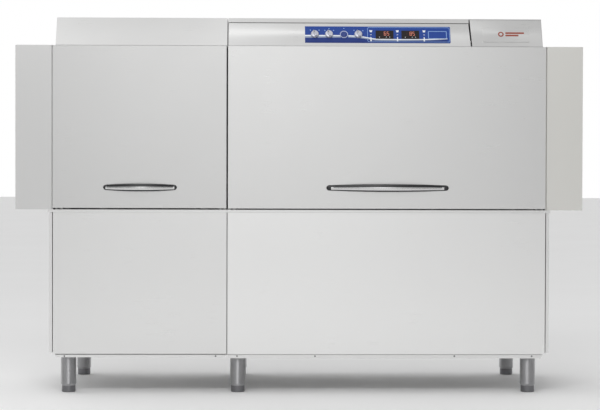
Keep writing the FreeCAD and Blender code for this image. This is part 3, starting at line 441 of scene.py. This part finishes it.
# Controls: height of the row, place along it, and half the width that print leaves to the button
CONTROL_T = 39.2
KNOB_S = {"left": 41.2, "middle": 101.0, "right": 224.2}
BUTTON_S = 163.7
BUTTON_CLEAR = 15.5


def on_panel(s, t, out=0.0):
    """A point s to the right and t up the overlay, and out from its face."""
    return CORNER + RIGHT * (s * MM) + UP * (t * MM) + OUT * (out * MM)


def slab(outline, low, high):
    """Vertices and faces of a flat shape on the panel, raised from low to high."""
    count = len(outline)
    verts = [on_panel(s, t, low) for s, t in outline] + [on_panel(s, t, high) for s, t in outline]
    faces = [tuple(range(count)), tuple(range(count, 2 * count))]
    for i in range(count):
        j = (i + 1) % count
        faces.append((i, j, j + count, i + count))
    return verts, faces


def band(outer, inner, low, high):
    """A flat loop between two outlines of the same count."""
    count = len(outer)
    verts = []
    for out in (low, high):
        for outline in (outer, inner):
            verts += [on_panel(s, t, out) for s, t in outline]
    faces = []
    for i in range(count):
        j = (i + 1) % count
        faces.append((2 * count + i, 2 * count + j, 3 * count + j, 3 * count + i))
        faces.append((i, j, 2 * count + j, 2 * count + i))
        faces.append((count + i, count + j, 3 * count + j, 3 * count + i))
        faces.append((i, j, count + j, count + i))
    return verts, faces


def rounded(s, t, radius, steps=6):
    """Rounded rectangle over two (low, high) ranges."""
    points = []
    corners = ((s[1], t[1], 0), (s[0], t[1], 90), (s[0], t[0], 180), (s[1], t[0], 270))
    for cs, ct, start in corners:
        centre_s = cs - radius if cs == s[1] else cs + radius
        centre_t = ct - radius if ct == t[1] else ct + radius
        for i in range(steps + 1):
            turn = math.radians(start + 90 * i / steps)
            points.append((centre_s + radius * math.cos(turn), centre_t + radius * math.sin(turn)))
    return points


def outline_band(s, t, radius, width, low, high):
    """A line of one width just inside a rounded rectangle."""
    inner = rounded((s[0] + width, s[1] - width), (t[0] + width, t[1] - width), max(0.3, radius - width))
    return band(rounded(s, t, radius), inner, low, high)


def disc(s, t, radius, steps=14):
    """Outline of a circle."""
    turns = [2 * math.pi * i / steps for i in range(steps)]
    return [(s + radius * math.cos(turn), t + radius * math.sin(turn)) for turn in turns]


# Levels of the ink, and the places of what is printed
INK, INK_OVER, INK_TOP = (0.0, 0.15), (0.15, 0.3), (0.3, 0.45)
LAMP_STEM, LAMP_DOT = (0.45, 0.6), (0.6, 0.75)
SWOOSH = ((0, 34), (61, 34), (121, 34), (166, 33.8), (206, 32.5), (236, 29.5), (263, 24.5), (291, 19),
          (331, 17), (421, 16.5), (511, 17.5), (571, 20), (598, 21.5))
TICKS = {"left": ((-18, 21), (18, 21)), "middle": ((-17, 20), (0, 28), (19, 20)),
         "right": ((-18, 21), (19, 19))}
ICON_S = (276.9, 388.5, 500.7)
DISPLAY_S = (296.9, 405.2)


def smooth_line(points, steps=8):
    """Catmull-Rom line through points."""
    padded = [points[0], *points, points[-1]]
    line = []
    for i in range(1, len(padded) - 2):
        p0, p1, p2, p3 = (Vector((*p, 0.0)) for p in padded[i - 1:i + 3])
        for k in range(steps):
            f = k / steps
            line.append((2 * p1 + (p2 - p0) * f + (2 * p0 - 5 * p1 + 4 * p2 - p3) * f * f
                         + (3 * p1 - p0 - 3 * p2 + p3) * f ** 3) / 2)
    line.append(Vector((*points[-1], 0.0)))
    return [(p.x, p.y) for p in line]


def ribbon(line, above, below, levels):
    """A printed stripe along a line, left out where the button stands.

    above and below give the reach of the stripe on each side of the line, as functions of s.
    """
    under_button = CONTROL_T - BUTTON_CLEAR
    parts = []
    for (s0, t0), (s1, t1) in zip(line, line[1:]):
        bottom = (t0 - below(s0), t1 - below(s1))
        top = (t0 + above(s0), t1 + above(s1))
        if abs((s0 + s1) / 2 - BUTTON_S) < BUTTON_CLEAR:
            if bottom[0] > under_button:
                continue
            top = [min(t, under_button) for t in top]
        parts.append(slab([(s0, bottom[0]), (s1, bottom[1]), (s1, top[1]), (s0, top[0])], *levels))
    return merge(parts)


def panel_piece(name, parts, look):
    """A flat printed piece on the overlay."""
    return piece(name, *merge(parts), look, "cabinet", "blue_overlay", smooth=False)


def panel_print():
    """Everything printed on the overlay."""
    line = smooth_line(SWOOSH)

    def to_floor(s):
        height = min(line, key=lambda p: abs(p[0] - s))[1]
        return height - 1.2

    def half_line(s):
        return 3.2 - s / 400

    lower = ribbon(line, lambda s: 0.0, to_floor, INK)
    grey = ribbon(line, lambda s: -2.0, lambda s: 10.5 - s / 90, INK_OVER)
    white = ribbon(line, half_line, half_line, INK_TOP)
    panel_piece("print_lower_field", [lower], "film_low")
    panel_piece("print_grey_band", [grey], "grey")
    panel_piece("print_white_line", [white], "white")

    pale = [outline_band((262, 609), (4.5, 75.5), 9.0, 2.0, *INK_OVER),
            outline_band((517.7, 596), (20.4, 57.5), 3.0, 2.8, *INK_TOP)]
    for place, spots in TICKS.items():
        for ds, dt in spots:
            pale.append(slab(disc(KNOB_S[place] + ds, CONTROL_T + dt, 2.6), *INK_OVER))
    pale.append(slab(disc(BUTTON_S, CONTROL_T + 30, 2.4), *INK_OVER))
    panel_piece("print_pale_marks", pale, "pale")
    ring = band(disc(BUTTON_S, CONTROL_T, 17.0, 40), disc(BUTTON_S, CONTROL_T, 14.4, 40), 2.0, 2.5)
    panel_piece("button_ring", [ring], "lavender")

    icons = []
    for s in ICON_S:
        icons.append(slab([(s - 6.4, 61), (s - 4.0, 51.5), (s + 4.0, 51.5), (s + 6.4, 61)], *INK_TOP))
        icons.append(slab(rounded((s - 3, s + 3), (38, 40.5), 0.9), *INK_TOP))
        icons.append(slab([(s - 2.8, 9), (s + 2.8, 9), (s + 2.0, 28), (s - 2.0, 28)], *LAMP_STEM))
        icons.append(slab(disc(s, 11.0, 3.4), *LAMP_DOT))
    panel_piece("print_icons", icons, "white")


# Seven-segment digits on the two display windows
SEGMENTS = {"5": "afgcd", "6": "afgedc", "8": "abcdefg"}
DIGIT_WIDE, DIGIT_HIGH, DIGIT_THICK, DIGIT_PITCH, DIGIT_T = 9.0, 18.5, 1.5, 12.2, 35.0
WINDOW_FACE = 1.3


def digit(character, s):
    """A digit whose lower left corner is at s on the digits' base line."""
    wide, high, thick, half = DIGIT_WIDE, DIGIT_HIGH, DIGIT_THICK, DIGIT_HIGH / 2
    inner = wide - thick
    upper, lower = (half + 0.4, high - 0.8), (0.8, half - 0.4)
    bars = {
        "a": ((thick, inner), (high - thick, high)),
        "b": ((inner, wide), upper),
        "c": ((inner, wide), lower),
        "d": ((thick, inner), (0, thick)),
        "e": ((0, thick), lower),
        "f": ((0, thick), upper),
        "g": ((thick, inner), (half - thick / 2, half + thick / 2)),
    }
    parts = []
    for key in SEGMENTS[character]:
        (left, right), (bottom, top) = bars[key]
        corners = ((left, bottom), (right, bottom), (right, top), (left, top))
        outline = [(s + ds, DIGIT_T + dt) for ds, dt in corners]
        parts.append(slab(outline, WINDOW_FACE, WINDOW_FACE + 0.15))
    return merge(parts)


def displays():
    """Two dark windows with lit numbers and small lamps."""
    windows, digits, unlit, lamps = [], [], [], []
    for left, number in zip(DISPLAY_S, ("65", "85")):
        windows.append(slab(rounded((left, left + 75), (19.5, 59.0), 2.0), INK_TOP[0], WINDOW_FACE))
        unlit.append(digit("8", left + 21))
        for index, character in enumerate(number):
            digits.append(digit(character, left + 35 + index * DIGIT_PITCH))
        for s in (16, 45, 59):
            lamps.append(slab(disc(left + s, 27.5, 1.6, steps=10), WINDOW_FACE, WINDOW_FACE + 0.2))
    panel_piece("display_windows", windows, "window")
    panel_piece("display_digits", digits, "digit")
    panel_piece("display_unlit", unlit, "unlit")
    panel_piece("display_lamps", lamps, "lamp")


# ---- Knobs ----

# Skirt as (out, radius), with scallops between two levels, and ridge as (out, half width, back, front)
KNOB_PROFILE = ((0.55, 16.4), (1.0, 17.0), (4.0, 17.0), (4.8, 16.3), (9.3, 15.4), (10.2, 14.6),
                (10.5, 13.0))
KNOB_STEPS, SCALLOPS, SCALLOP_DEPTH, SCALLOPED = 72, 18, 0.35, (4.5, 9.8)
RIDGE_LEVELS = ((9.8, 5.2, 14.0, 16.6), (14.0, 3.6, 13.4, 16.8), (15.1, 2.6, 12.4, 15.6))
RIDGE_NOSE = 3.5
POINTER_LEAN = math.radians(-20)
POINTER_LINE = ((0.9, 2.0), (0.9, 13.5), (-0.9, 13.5), (-0.9, 2.0))
POINTER_LEVELS = (15.1, 15.3)


def knob(place):
    """Turned knob with a scalloped skirt, a raised ridge and a dark pointer line."""
    centre = on_panel(KNOB_S[place], CONTROL_T)
    point = UP * math.cos(POINTER_LEAN) + RIGHT * math.sin(POINTER_LEAN)
    side = OUT.cross(point)

    def level_ring(out, outline):
        """Points at one level: a to the side and b toward the pointer."""
        return [centre + OUT * (out * MM) + side * (a * MM) + point * (b * MM) for a, b in outline]

    skirt = []
    for out, radius in KNOB_PROFILE:
        depth = SCALLOP_DEPTH if SCALLOPED[0] < out < SCALLOPED[1] else 0.0
        ring = []
        for i in range(KNOB_STEPS):
            turn = 2 * math.pi * i / KNOB_STEPS
            radial = point * math.cos(turn) + side * math.sin(turn)
            reach = (radius + depth * math.cos(SCALLOPS * turn)) * MM
            ring.append(centre + OUT * (out * MM) + radial * reach)
        skirt.append(ring)
    ridge = []
    for out, half, back, front in RIDGE_LEVELS:
        shoulder = (half * 0.9, front - RIDGE_NOSE)
        ridge.append(level_ring(out, ((half, -back), shoulder, (0, front), (-shoulder[0], shoulder[1]),
                                      (-half, -back))))
    made = piece(f"knob_{place}_shape", *merge([rings_to_mesh(skirt), rings_to_mesh(ridge)]), "knob",
                 f"knob_{place}_body", "silver_knob", bevel=0.0004)
    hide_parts(f"knob_{place}")
    line = [level_ring(out, POINTER_LINE) for out in POINTER_LEVELS]
    piece(f"knob_{place}_line", *rings_to_mesh(line), "rubber", f"knob_{place}_body", "silver_knob",
          smooth=False)


# ---- Handles ----

HANDLE_STATIONS, HANDLE_STEPS, BAND_STEPS = 96, 40, 12
HANDLE_THICK = 0.0075
END_TO_MIDDLE = 0.68
BAND_ARC = (math.radians(-36), math.radians(11))
BAND_REACH = 0.918

def handle(side):
    """Bowed dark oval bar, taller in the middle, with a bright band let into its front; the bar's dark
    colour is a painted dark reflection and shade.
    """
    low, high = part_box(f"handle_{side}")
    half = (high[0] - low[0]) / 2
    middle = (high[0] + low[0]) / 2
    depth = high[1] - low[1]
    level = (high[2] + low[2]) / 2
    mid_h = (high[2] - low[2]) / 2
    end_h = mid_h * END_TO_MIDDLE
    radius = (half * half + depth * depth) / (2 * depth)
    round_from = 1 - end_h / half

    def section(f, grow, arc, steps):
        """One ring or strip of the bar at f from -1 to 1."""
        into_end = max(0.0, (abs(f) - round_from) / (1 - round_from))
        end_round = math.sqrt(max(0.0, 1 - into_end ** 2))
        tall = (end_h + (mid_h - end_h) * (1 - f * f)) * (0.06 + 0.94 * end_round)
        wide = HANDLE_THICK * (0.4 + 0.6 * end_round)
        x = middle + half * 0.998 * f
        front = high[1] - (math.sqrt(max(0.0, radius ** 2 - (half * f) ** 2)) - (radius - depth))
        centre_y = min(front + HANDLE_THICK + 0.0005, high[1] - 0.002)
        lean = math.asin(max(-1.0, min(1.0, half * f / radius)))
        ring = []
        for i in range(steps + 1):
            turn = arc[0] + (arc[1] - arc[0]) * i / steps
            out = math.copysign(abs(math.cos(turn)) ** 0.8, math.cos(turn)) * (wide + grow)
            rise = math.copysign(abs(math.sin(turn)) ** 0.9, math.sin(turn)) * (tall + grow)
            ring.append(Vector((x + out * math.sin(lean), centre_y - out * math.cos(lean), level + rise)))
        return ring

    def sweep(grow, arc, steps, reach):
        """Sections from end to end, closer together towards the ends."""
        turns = [math.pi * (i / HANDLE_STATIONS - 0.5) for i in range(HANDLE_STATIONS + 1)]
        return [section(reach * math.sin(t), grow, arc, steps) for t in turns]

    # The bar is coloured dark: a painted dark reflection and shade on the handle
    bar = [ring[:-1] for ring in sweep(0.0, (0.0, 2 * math.pi), HANDLE_STEPS, 1.0)]
    made = piece(f"handle_{side}_bar", *rings_to_mesh(bar), "grip", f"door_{side}", "bright_chrome")
    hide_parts(f"handle_{side}")
    outer = sweep(0.0006, BAND_ARC, BAND_STEPS, BAND_REACH)
    inner = sweep(-0.0008, BAND_ARC, BAND_STEPS, BAND_REACH)
    strip = [a + b[::-1] for a, b in zip(outer, inner)]
    piece(f"handle_{side}_band", *rings_to_mesh(strip), "chrome", f"door_{side}", "bright_chrome")


# ---- Smaller pieces ----

# Screws as fractions of the way from the first to the last, and a dome as (out, part of the radius)
LIP_SCREWS = (0.0, 0.3224, 0.3681, 0.5349, 0.8337, 1.0)
SCREW_DOME = ((0.0, 1.0), (0.0009, 0.98), (0.0016, 0.8), (0.0019, 0.5), (0.0013, 0.34), (0.0012, 0.1))


def lip_screws():
    """Domed screws with a round recess, on the lip under the front panels."""
    parts = []
    low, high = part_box("panel_screws")
    level = (low[2] + high[2]) / 2
    radius = (high[2] - low[2]) / 2
    ends = (low[0] + radius, high[0] - radius)
    dome = [(out, radius * share) for out, share in SCREW_DOME]
    for f in LIP_SCREWS:
        centre = Vector((f * (ends[1] - ends[0]) + ends[0], high[1], level))
        parts.append(turned(dome, centre, Vector((0, -1, 0)), Vector((0, 0, 1)), steps=20))
    made = piece("lip_screws", *merge(parts), "foot", "cabinet", "polished_steel")
    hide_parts("panel_screws")


# Badge: height of the mark's middle line, levels of its ink, and its start as a part of the plate
MARK_T = 43.0
MARK_LEVELS = (2.0, 2.3)
MARK_START = 0.39


def badge_mark():
    """A plain generic mark on the blank badge: a ring and two bars."""
    low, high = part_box("badge_plate")
    start = low[0] / MM - CORNER.x / MM + (high[0] - low[0]) / MM * MARK_START
    parts = [band(disc(start, MARK_T, 12.0, 28), disc(start, MARK_T, 6.8, 28), *MARK_LEVELS),
             slab(rounded((start + 19, start + 98), (MARK_T + 2.0, MARK_T + 9.5), 2.5), *MARK_LEVELS),
             slab(rounded((start + 19, start + 74), (MARK_T - 9.5, MARK_T - 2.0), 2.5), *MARK_LEVELS)]
    piece("badge_mark", *merge(parts), "red", "cabinet", "satin_steel", smooth=False)


# Strip curtains: strips lie in front of and behind each other by turns; the back ones are wider
CURTAIN_WIDTH = 0.51
STRIPS, STRIP_STEPS = 9, 24
STRIP_HALF_THICK = 0.0008
STRIP_OVERLAP = (-0.0012, 0.003)
STRIP_OFFSET = (-0.0016, 0.0016)
CURTAIN_ROD_R = 0.004
ROD_CHAMFER = 0.0004
HEM_OUTLINE = ((-0.0048, 0.0), (-0.0034, 0.004), (0.0034, 0.004), (0.0048, 0.0), (0.0046, -0.016),
               (-0.0046, -0.016))


def strip(index, middle, top, bottom):
    """One strip, hanging a little out of plane and out of flat."""
    pitch = CURTAIN_WIDTH / STRIPS
    centre = -CURTAIN_WIDTH / 2 + pitch * (index + 0.5)
    half = pitch * 0.5 + STRIP_OVERLAP[index % 2]
    sway = random.uniform(-0.0015, 0.0015)
    rings = []
    for k in range(STRIP_STEPS + 1):
        f = k / STRIP_STEPS
        z = top - f * (top - bottom)
        drift = STRIP_OFFSET[index % 2] + sway * f + 0.0012 * f * math.sin(4.0 * f + index)
        curl = 0.0014 * f * math.cos(3.1 * f + 1.7 * index)
        across = ((-half, 0.0), (0.0, curl), (half, 0.0))
        ring = [Vector((middle + drift + bulge + STRIP_HALF_THICK, centre + y, z)) for y, bulge in across]
        ring += [Vector((middle + drift + bulge - STRIP_HALF_THICK, centre + y, z))
                 for y, bulge in reversed(across)]
        rings.append(ring)
    return rings_to_mesh(rings)


def curtain(end):
    """Overlapping strips on a rod, with a sewn top hem."""
    node, body = f"curtain_{end}", f"{end}_curtain"
    low, high = (Vector(c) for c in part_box(node))
    middle = (low.x + high.x) / 2
    pivot = high.z - CURTAIN_ROD_R
    parts = [strip(i, middle, pivot - CURTAIN_ROD_R, low.z) for i in range(STRIPS)]
    made = piece(f"{node}_strips", *merge(parts), "curtain", body, "curtain_plastic")
    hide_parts(node)

    length = high.y - low.y
    end_r = CURTAIN_ROD_R - ROD_CHAMFER
    profile = ((0, end_r), (0.0006, CURTAIN_ROD_R), (length - 0.0006, CURTAIN_ROD_R), (length, end_r))
    rod = turned(profile, Vector((middle, low.y, pivot)), Vector((0, 1, 0)), Vector((0, 0, 1)), steps=20)
    piece(f"{node}_rod", *rod, "shaft", body, "curtain_plastic")
    hem = [[Vector((middle + dx * 0.98, y, pivot + dz * 0.95)) for dx, dz in HEM_OUTLINE]
           for y in (-CURTAIN_WIDTH / 2, CURTAIN_WIDTH / 2)]
    piece(f"{node}_hem", *rings_to_mesh(hem), "curtain", body, "curtain_plastic", bevel=0.0006)


STRANDS, ROPE_TWISTS, ROPE_STEPS, STRAND_SIDES = 3, 34, 260, 6


def rope(side):
    """Laid wire rope: three strands twisted round each other."""
    low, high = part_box(f"lift_ropes_{side}")
    radius = (high[1] - low[1]) / 2
    y = (high[1] + low[1]) / 2
    outline = [Vector((math.cos(a), math.sin(a), 0)) for a in
               (2 * math.pi * i / STRAND_SIDES for i in range(STRAND_SIDES))]
    parts = []
    for x in (low[0] + radius, high[0] - radius):
        for strand in range(STRANDS):
            rings = []
            for k in range(ROPE_STEPS + 1):
                f = k / ROPE_STEPS
                turn = 2 * math.pi * (f * ROPE_TWISTS + strand / STRANDS)
                centre = Vector((x + math.cos(turn) * radius * 0.48, y + math.sin(turn) * radius * 0.48,
                                 low[2] + (high[2] - low[2]) * f))
                rings.append([centre + point * radius * 0.5 for point in outline])
            parts.append(rings_to_mesh(rings))
    made = piece(f"lift_ropes_{side}_strands", *merge(parts), "shaft", "cabinet", "polished_steel")
    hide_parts(f"lift_ropes_{side}")
    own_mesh(made)


# Spray arms: first cross tube, number and radius in each wash zone, their pitch, and their two levels
WASH_CROSS = ((-0.78, 3), (-0.20, 4))
CROSS_PITCH, WASH_TUBE_R, RINSE_TUBE_R = 0.14, 0.012, 0.008
ARM_LEVELS = ((0.800, 1), (1.372, -1))
JETS, FIRST_JET_Y, JET_PITCH, JET_SINK = 7, -0.215, 0.072, 0.0012
JET_PROFILE = ((0, 0.62), (0.003, 0.62), (0.0035, 0.45), (0.007, 0.40), (0.0078, 0.28), (0.0066, 0.12))


def nozzles():
    """Fan nozzles along the cross tubes of the spray arms, pointing at the dishes."""
    low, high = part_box("rinse_arms")
    tubes = [(first + CROSS_PITCH * i, WASH_TUBE_R) for first, count in WASH_CROSS for i in range(count)]
    tubes.append(((low[0] + high[0]) / 2, RINSE_TUBE_R))
    parts = []
    for x, tube_r in tubes:
        profile = [(out, tube_r * share) for out, share in JET_PROFILE]
        for level, sign in ARM_LEVELS:
            for k in range(JETS):
                centre = Vector((x, FIRST_JET_Y + k * JET_PITCH, level + sign * (tube_r - JET_SINK)))
                parts.append(turned(profile, centre, Vector((0, 0, sign)), Vector((1, 0, 0)), steps=12))
    piece("spray_nozzles", *merge(parts), "moulding", "cabinet", "black_plastic")


# Strainer trays: number of slots along each, rows across, half a bar's width, sheet, gap to the tank
SLOTS = {"prewash": 26, "wash": 28}
SLOT_ROWS, SLOT_BAR, TRAY_SHEET, TRAY_GAP = 5, 0.0042, 0.0015, 0.014


def strainer(name):
    """Vertices and faces of a strainer tray with rows of slots, in a folded rim."""
    low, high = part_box("strainer_trays")
    tank_low, tank_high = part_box(f"{name}_tank")
    x0 = tank_low[0] + TRAY_GAP
    x1 = min(tank_high[0] - TRAY_GAP, high[0])
    y0, y1 = low[1], high[1]
    z0, z1 = low[2], high[2]
    parts = []
    for i in range(SLOTS[name] + 1):
        x = x0 + i * ((x1 - x0) / SLOTS[name])
        parts.append(cuboid((max(x0, x - SLOT_BAR), y0, z0),
                            (min(x1, x + SLOT_BAR), y1, z0 + TRAY_SHEET)))
    for j in range(SLOT_ROWS + 1):
        y = y0 + j * ((y1 - y0) / SLOT_ROWS)
        parts.append(cuboid((x0, max(y0, y - SLOT_BAR), z0 + 0.0001),
                            (x1, min(y1, y + SLOT_BAR), z0 + TRAY_SHEET + 0.0001)))
    for a, b in (((x0, y0), (x1, y0 + TRAY_SHEET)), ((x0, y1 - TRAY_SHEET), (x1, y1)),
                 ((x0, y0), (x0 + TRAY_SHEET, y1)), ((x1 - TRAY_SHEET, y0), (x1, y1))):
        parts.append(cuboid((*a, z0), (*b, z1)))
    return merge(parts)


def strainers():
    """Both strainer trays; the first stands for the CAD node that holds the two."""
    for name in SLOTS:
        made = piece(f"{name}_strainer", *strainer(name), "inside", "cabinet", "satin_steel", smooth=False)
        if name == "prewash":
            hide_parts("strainer_trays")


# ---- Light, floor and camera ----

def stage():
    """Pale floor, studio light and plain colour."""
    floor_mesh = bpy.data.meshes.new("floor")
    corners = [(x * FLOOR_HALF, y * FLOOR_HALF, 0) for x, y in ((-1, -1), (1, -1), (1, 1), (-1, 1))]
    floor_mesh.from_pydata(corners, [], [(0, 1, 2, 3)])
    floor = bpy.data.objects.new("floor", floor_mesh)
    bpy.context.scene.collection.objects.link(floor)
    look = Shader("pale_floor", (0.93, 0.93, 0.93), roughness=0.9)
    mottle = look.noise(0.8)
    look.colour(look.mix(look.spread(mottle, 0.0, 1.0), (0.92, 0.92, 0.92), (0.94, 0.94, 0.94)))
    floor_mesh.materials.append(look.material)

    studio_world()
    key_light()
    bpy.context.scene.view_settings.view_transform = "Standard"


def key_light():
    """A soft box above and to the left of the camera."""
    light = bpy.data.lights.new("key", "AREA")
    light.shape = "RECTANGLE"
    light.size, light.size_y = KEY_SIZE
    light.energy = KEY_POWER
    lamp = bpy.data.objects.new("key", light)
    lamp.location = KEY_AT
    lamp.rotation_euler = (Vector(KEY_TOWARD) - Vector(KEY_AT)).to_track_quat("-Z", "Y").to_euler()
    bpy.context.scene.collection.objects.link(lamp)


def studio_world():
    """Bright behind and overhead; in front, a soft bright middle between darker sides."""
    world = bpy.data.worlds.new("studio")
    bpy.context.scene.world = world
    world.use_nodes = True
    tree = world.node_tree

    def link(value, socket):
        if isinstance(value, bpy.types.NodeSocket):
            tree.links.new(value, socket)
        else:
            socket.default_value = value

    def calc(operation, first, second=0.0):
        made = tree.nodes.new("ShaderNodeMath")
        made.operation = operation
        link(first, made.inputs[0])
        link(second, made.inputs[1])
        return made.outputs[0]

    def ramp(value, span, low=0.0, high=1.0):
        """A smooth step from low to high over a span of the value."""
        made = tree.nodes.new("ShaderNodeMapRange")
        made.interpolation_type = "SMOOTHSTEP"
        link(value, made.inputs["Value"])
        names = ("From Min", "From Max", "To Min", "To Max")
        for name, setting in zip(names, (*span, low, high)):
            link(setting, made.inputs[name])
        return made.outputs["Result"]

    def blend(share, first, second):
        """From first to second as share goes from 0 to 1."""
        rest = calc("SUBTRACT", 1.0, share)
        return calc("ADD", calc("MULTIPLY", first, rest), calc("MULTIPLY", share, second))

    place = tree.nodes.new("ShaderNodeTexCoord")
    split = tree.nodes.new("ShaderNodeSeparateXYZ")
    tree.links.new(place.outputs["Generated"], split.inputs[0])
    x, y, z = split.outputs
    offset = calc("DIVIDE", calc("SUBTRACT", x, FRONT_MIDDLE), FRONT_WIDTH)
    bell = calc("EXPONENT", calc("MULTIPLY", calc("MULTIPLY", offset, offset), -1.0))
    front = calc("ADD", FRONT_DIM, calc("MULTIPLY", bell, FRONT_GLOW))
    back = ramp(y, TO_BACK)
    around = blend(ramp(calc("ABSOLUTE", x), TO_SIDE), front, SIDE_DIM)
    around = blend(back, around, 1.0)
    overhead = calc("ADD", ramp(z, TO_ZENITH, DOME, ZENITH), calc("MULTIPLY", back, BACK_DOME))
    overhead = calc("MULTIPLY", overhead, ramp(x, TO_DIM_RIGHT, 1.0, DIM_RIGHT))
    whole = blend(ramp(z, TO_DOME), around, overhead)
    sky = tree.nodes["Background"]
    sky.inputs["Color"].default_value = (1.0, 1.0, 1.0, 1.0)
    tree.links.new(whole, sky.inputs["Strength"])


def camera():
    """Camera from its place and its yaw, pitch and roll; the rows of turn are its right, forward and up."""
    turn = (Matrix.Rotation(-ROLL, 3, "Y") @ Matrix.Rotation(-PITCH, 3, "X")
            @ Matrix.Rotation(-YAW, 3, "Z"))
    right, forward, up = turn[0], turn[1], turn[2]
    data = bpy.data.cameras.new("camera")
    data.lens = LENS_MM
    data.sensor_width = SENSOR_MM
    eye = bpy.data.objects.new("camera", data)
    axes = Matrix((right, up, -forward)).transposed()
    eye.matrix_world = Matrix.Translation(CAMERA_AT) @ axes.to_4x4()
    bpy.context.scene.collection.objects.link(eye)
    bpy.context.scene.camera = eye


dress_nodes()
panel_print()
displays()
for place in KNOB_S:
    knob(place)
for door in ("left", "right"):
    handle(door)
    rope(door)
lip_screws()
badge_mark()
for end in ("entry", "exit"):
    curtain(end)
nozzles()
strainers()
stage()
camera()
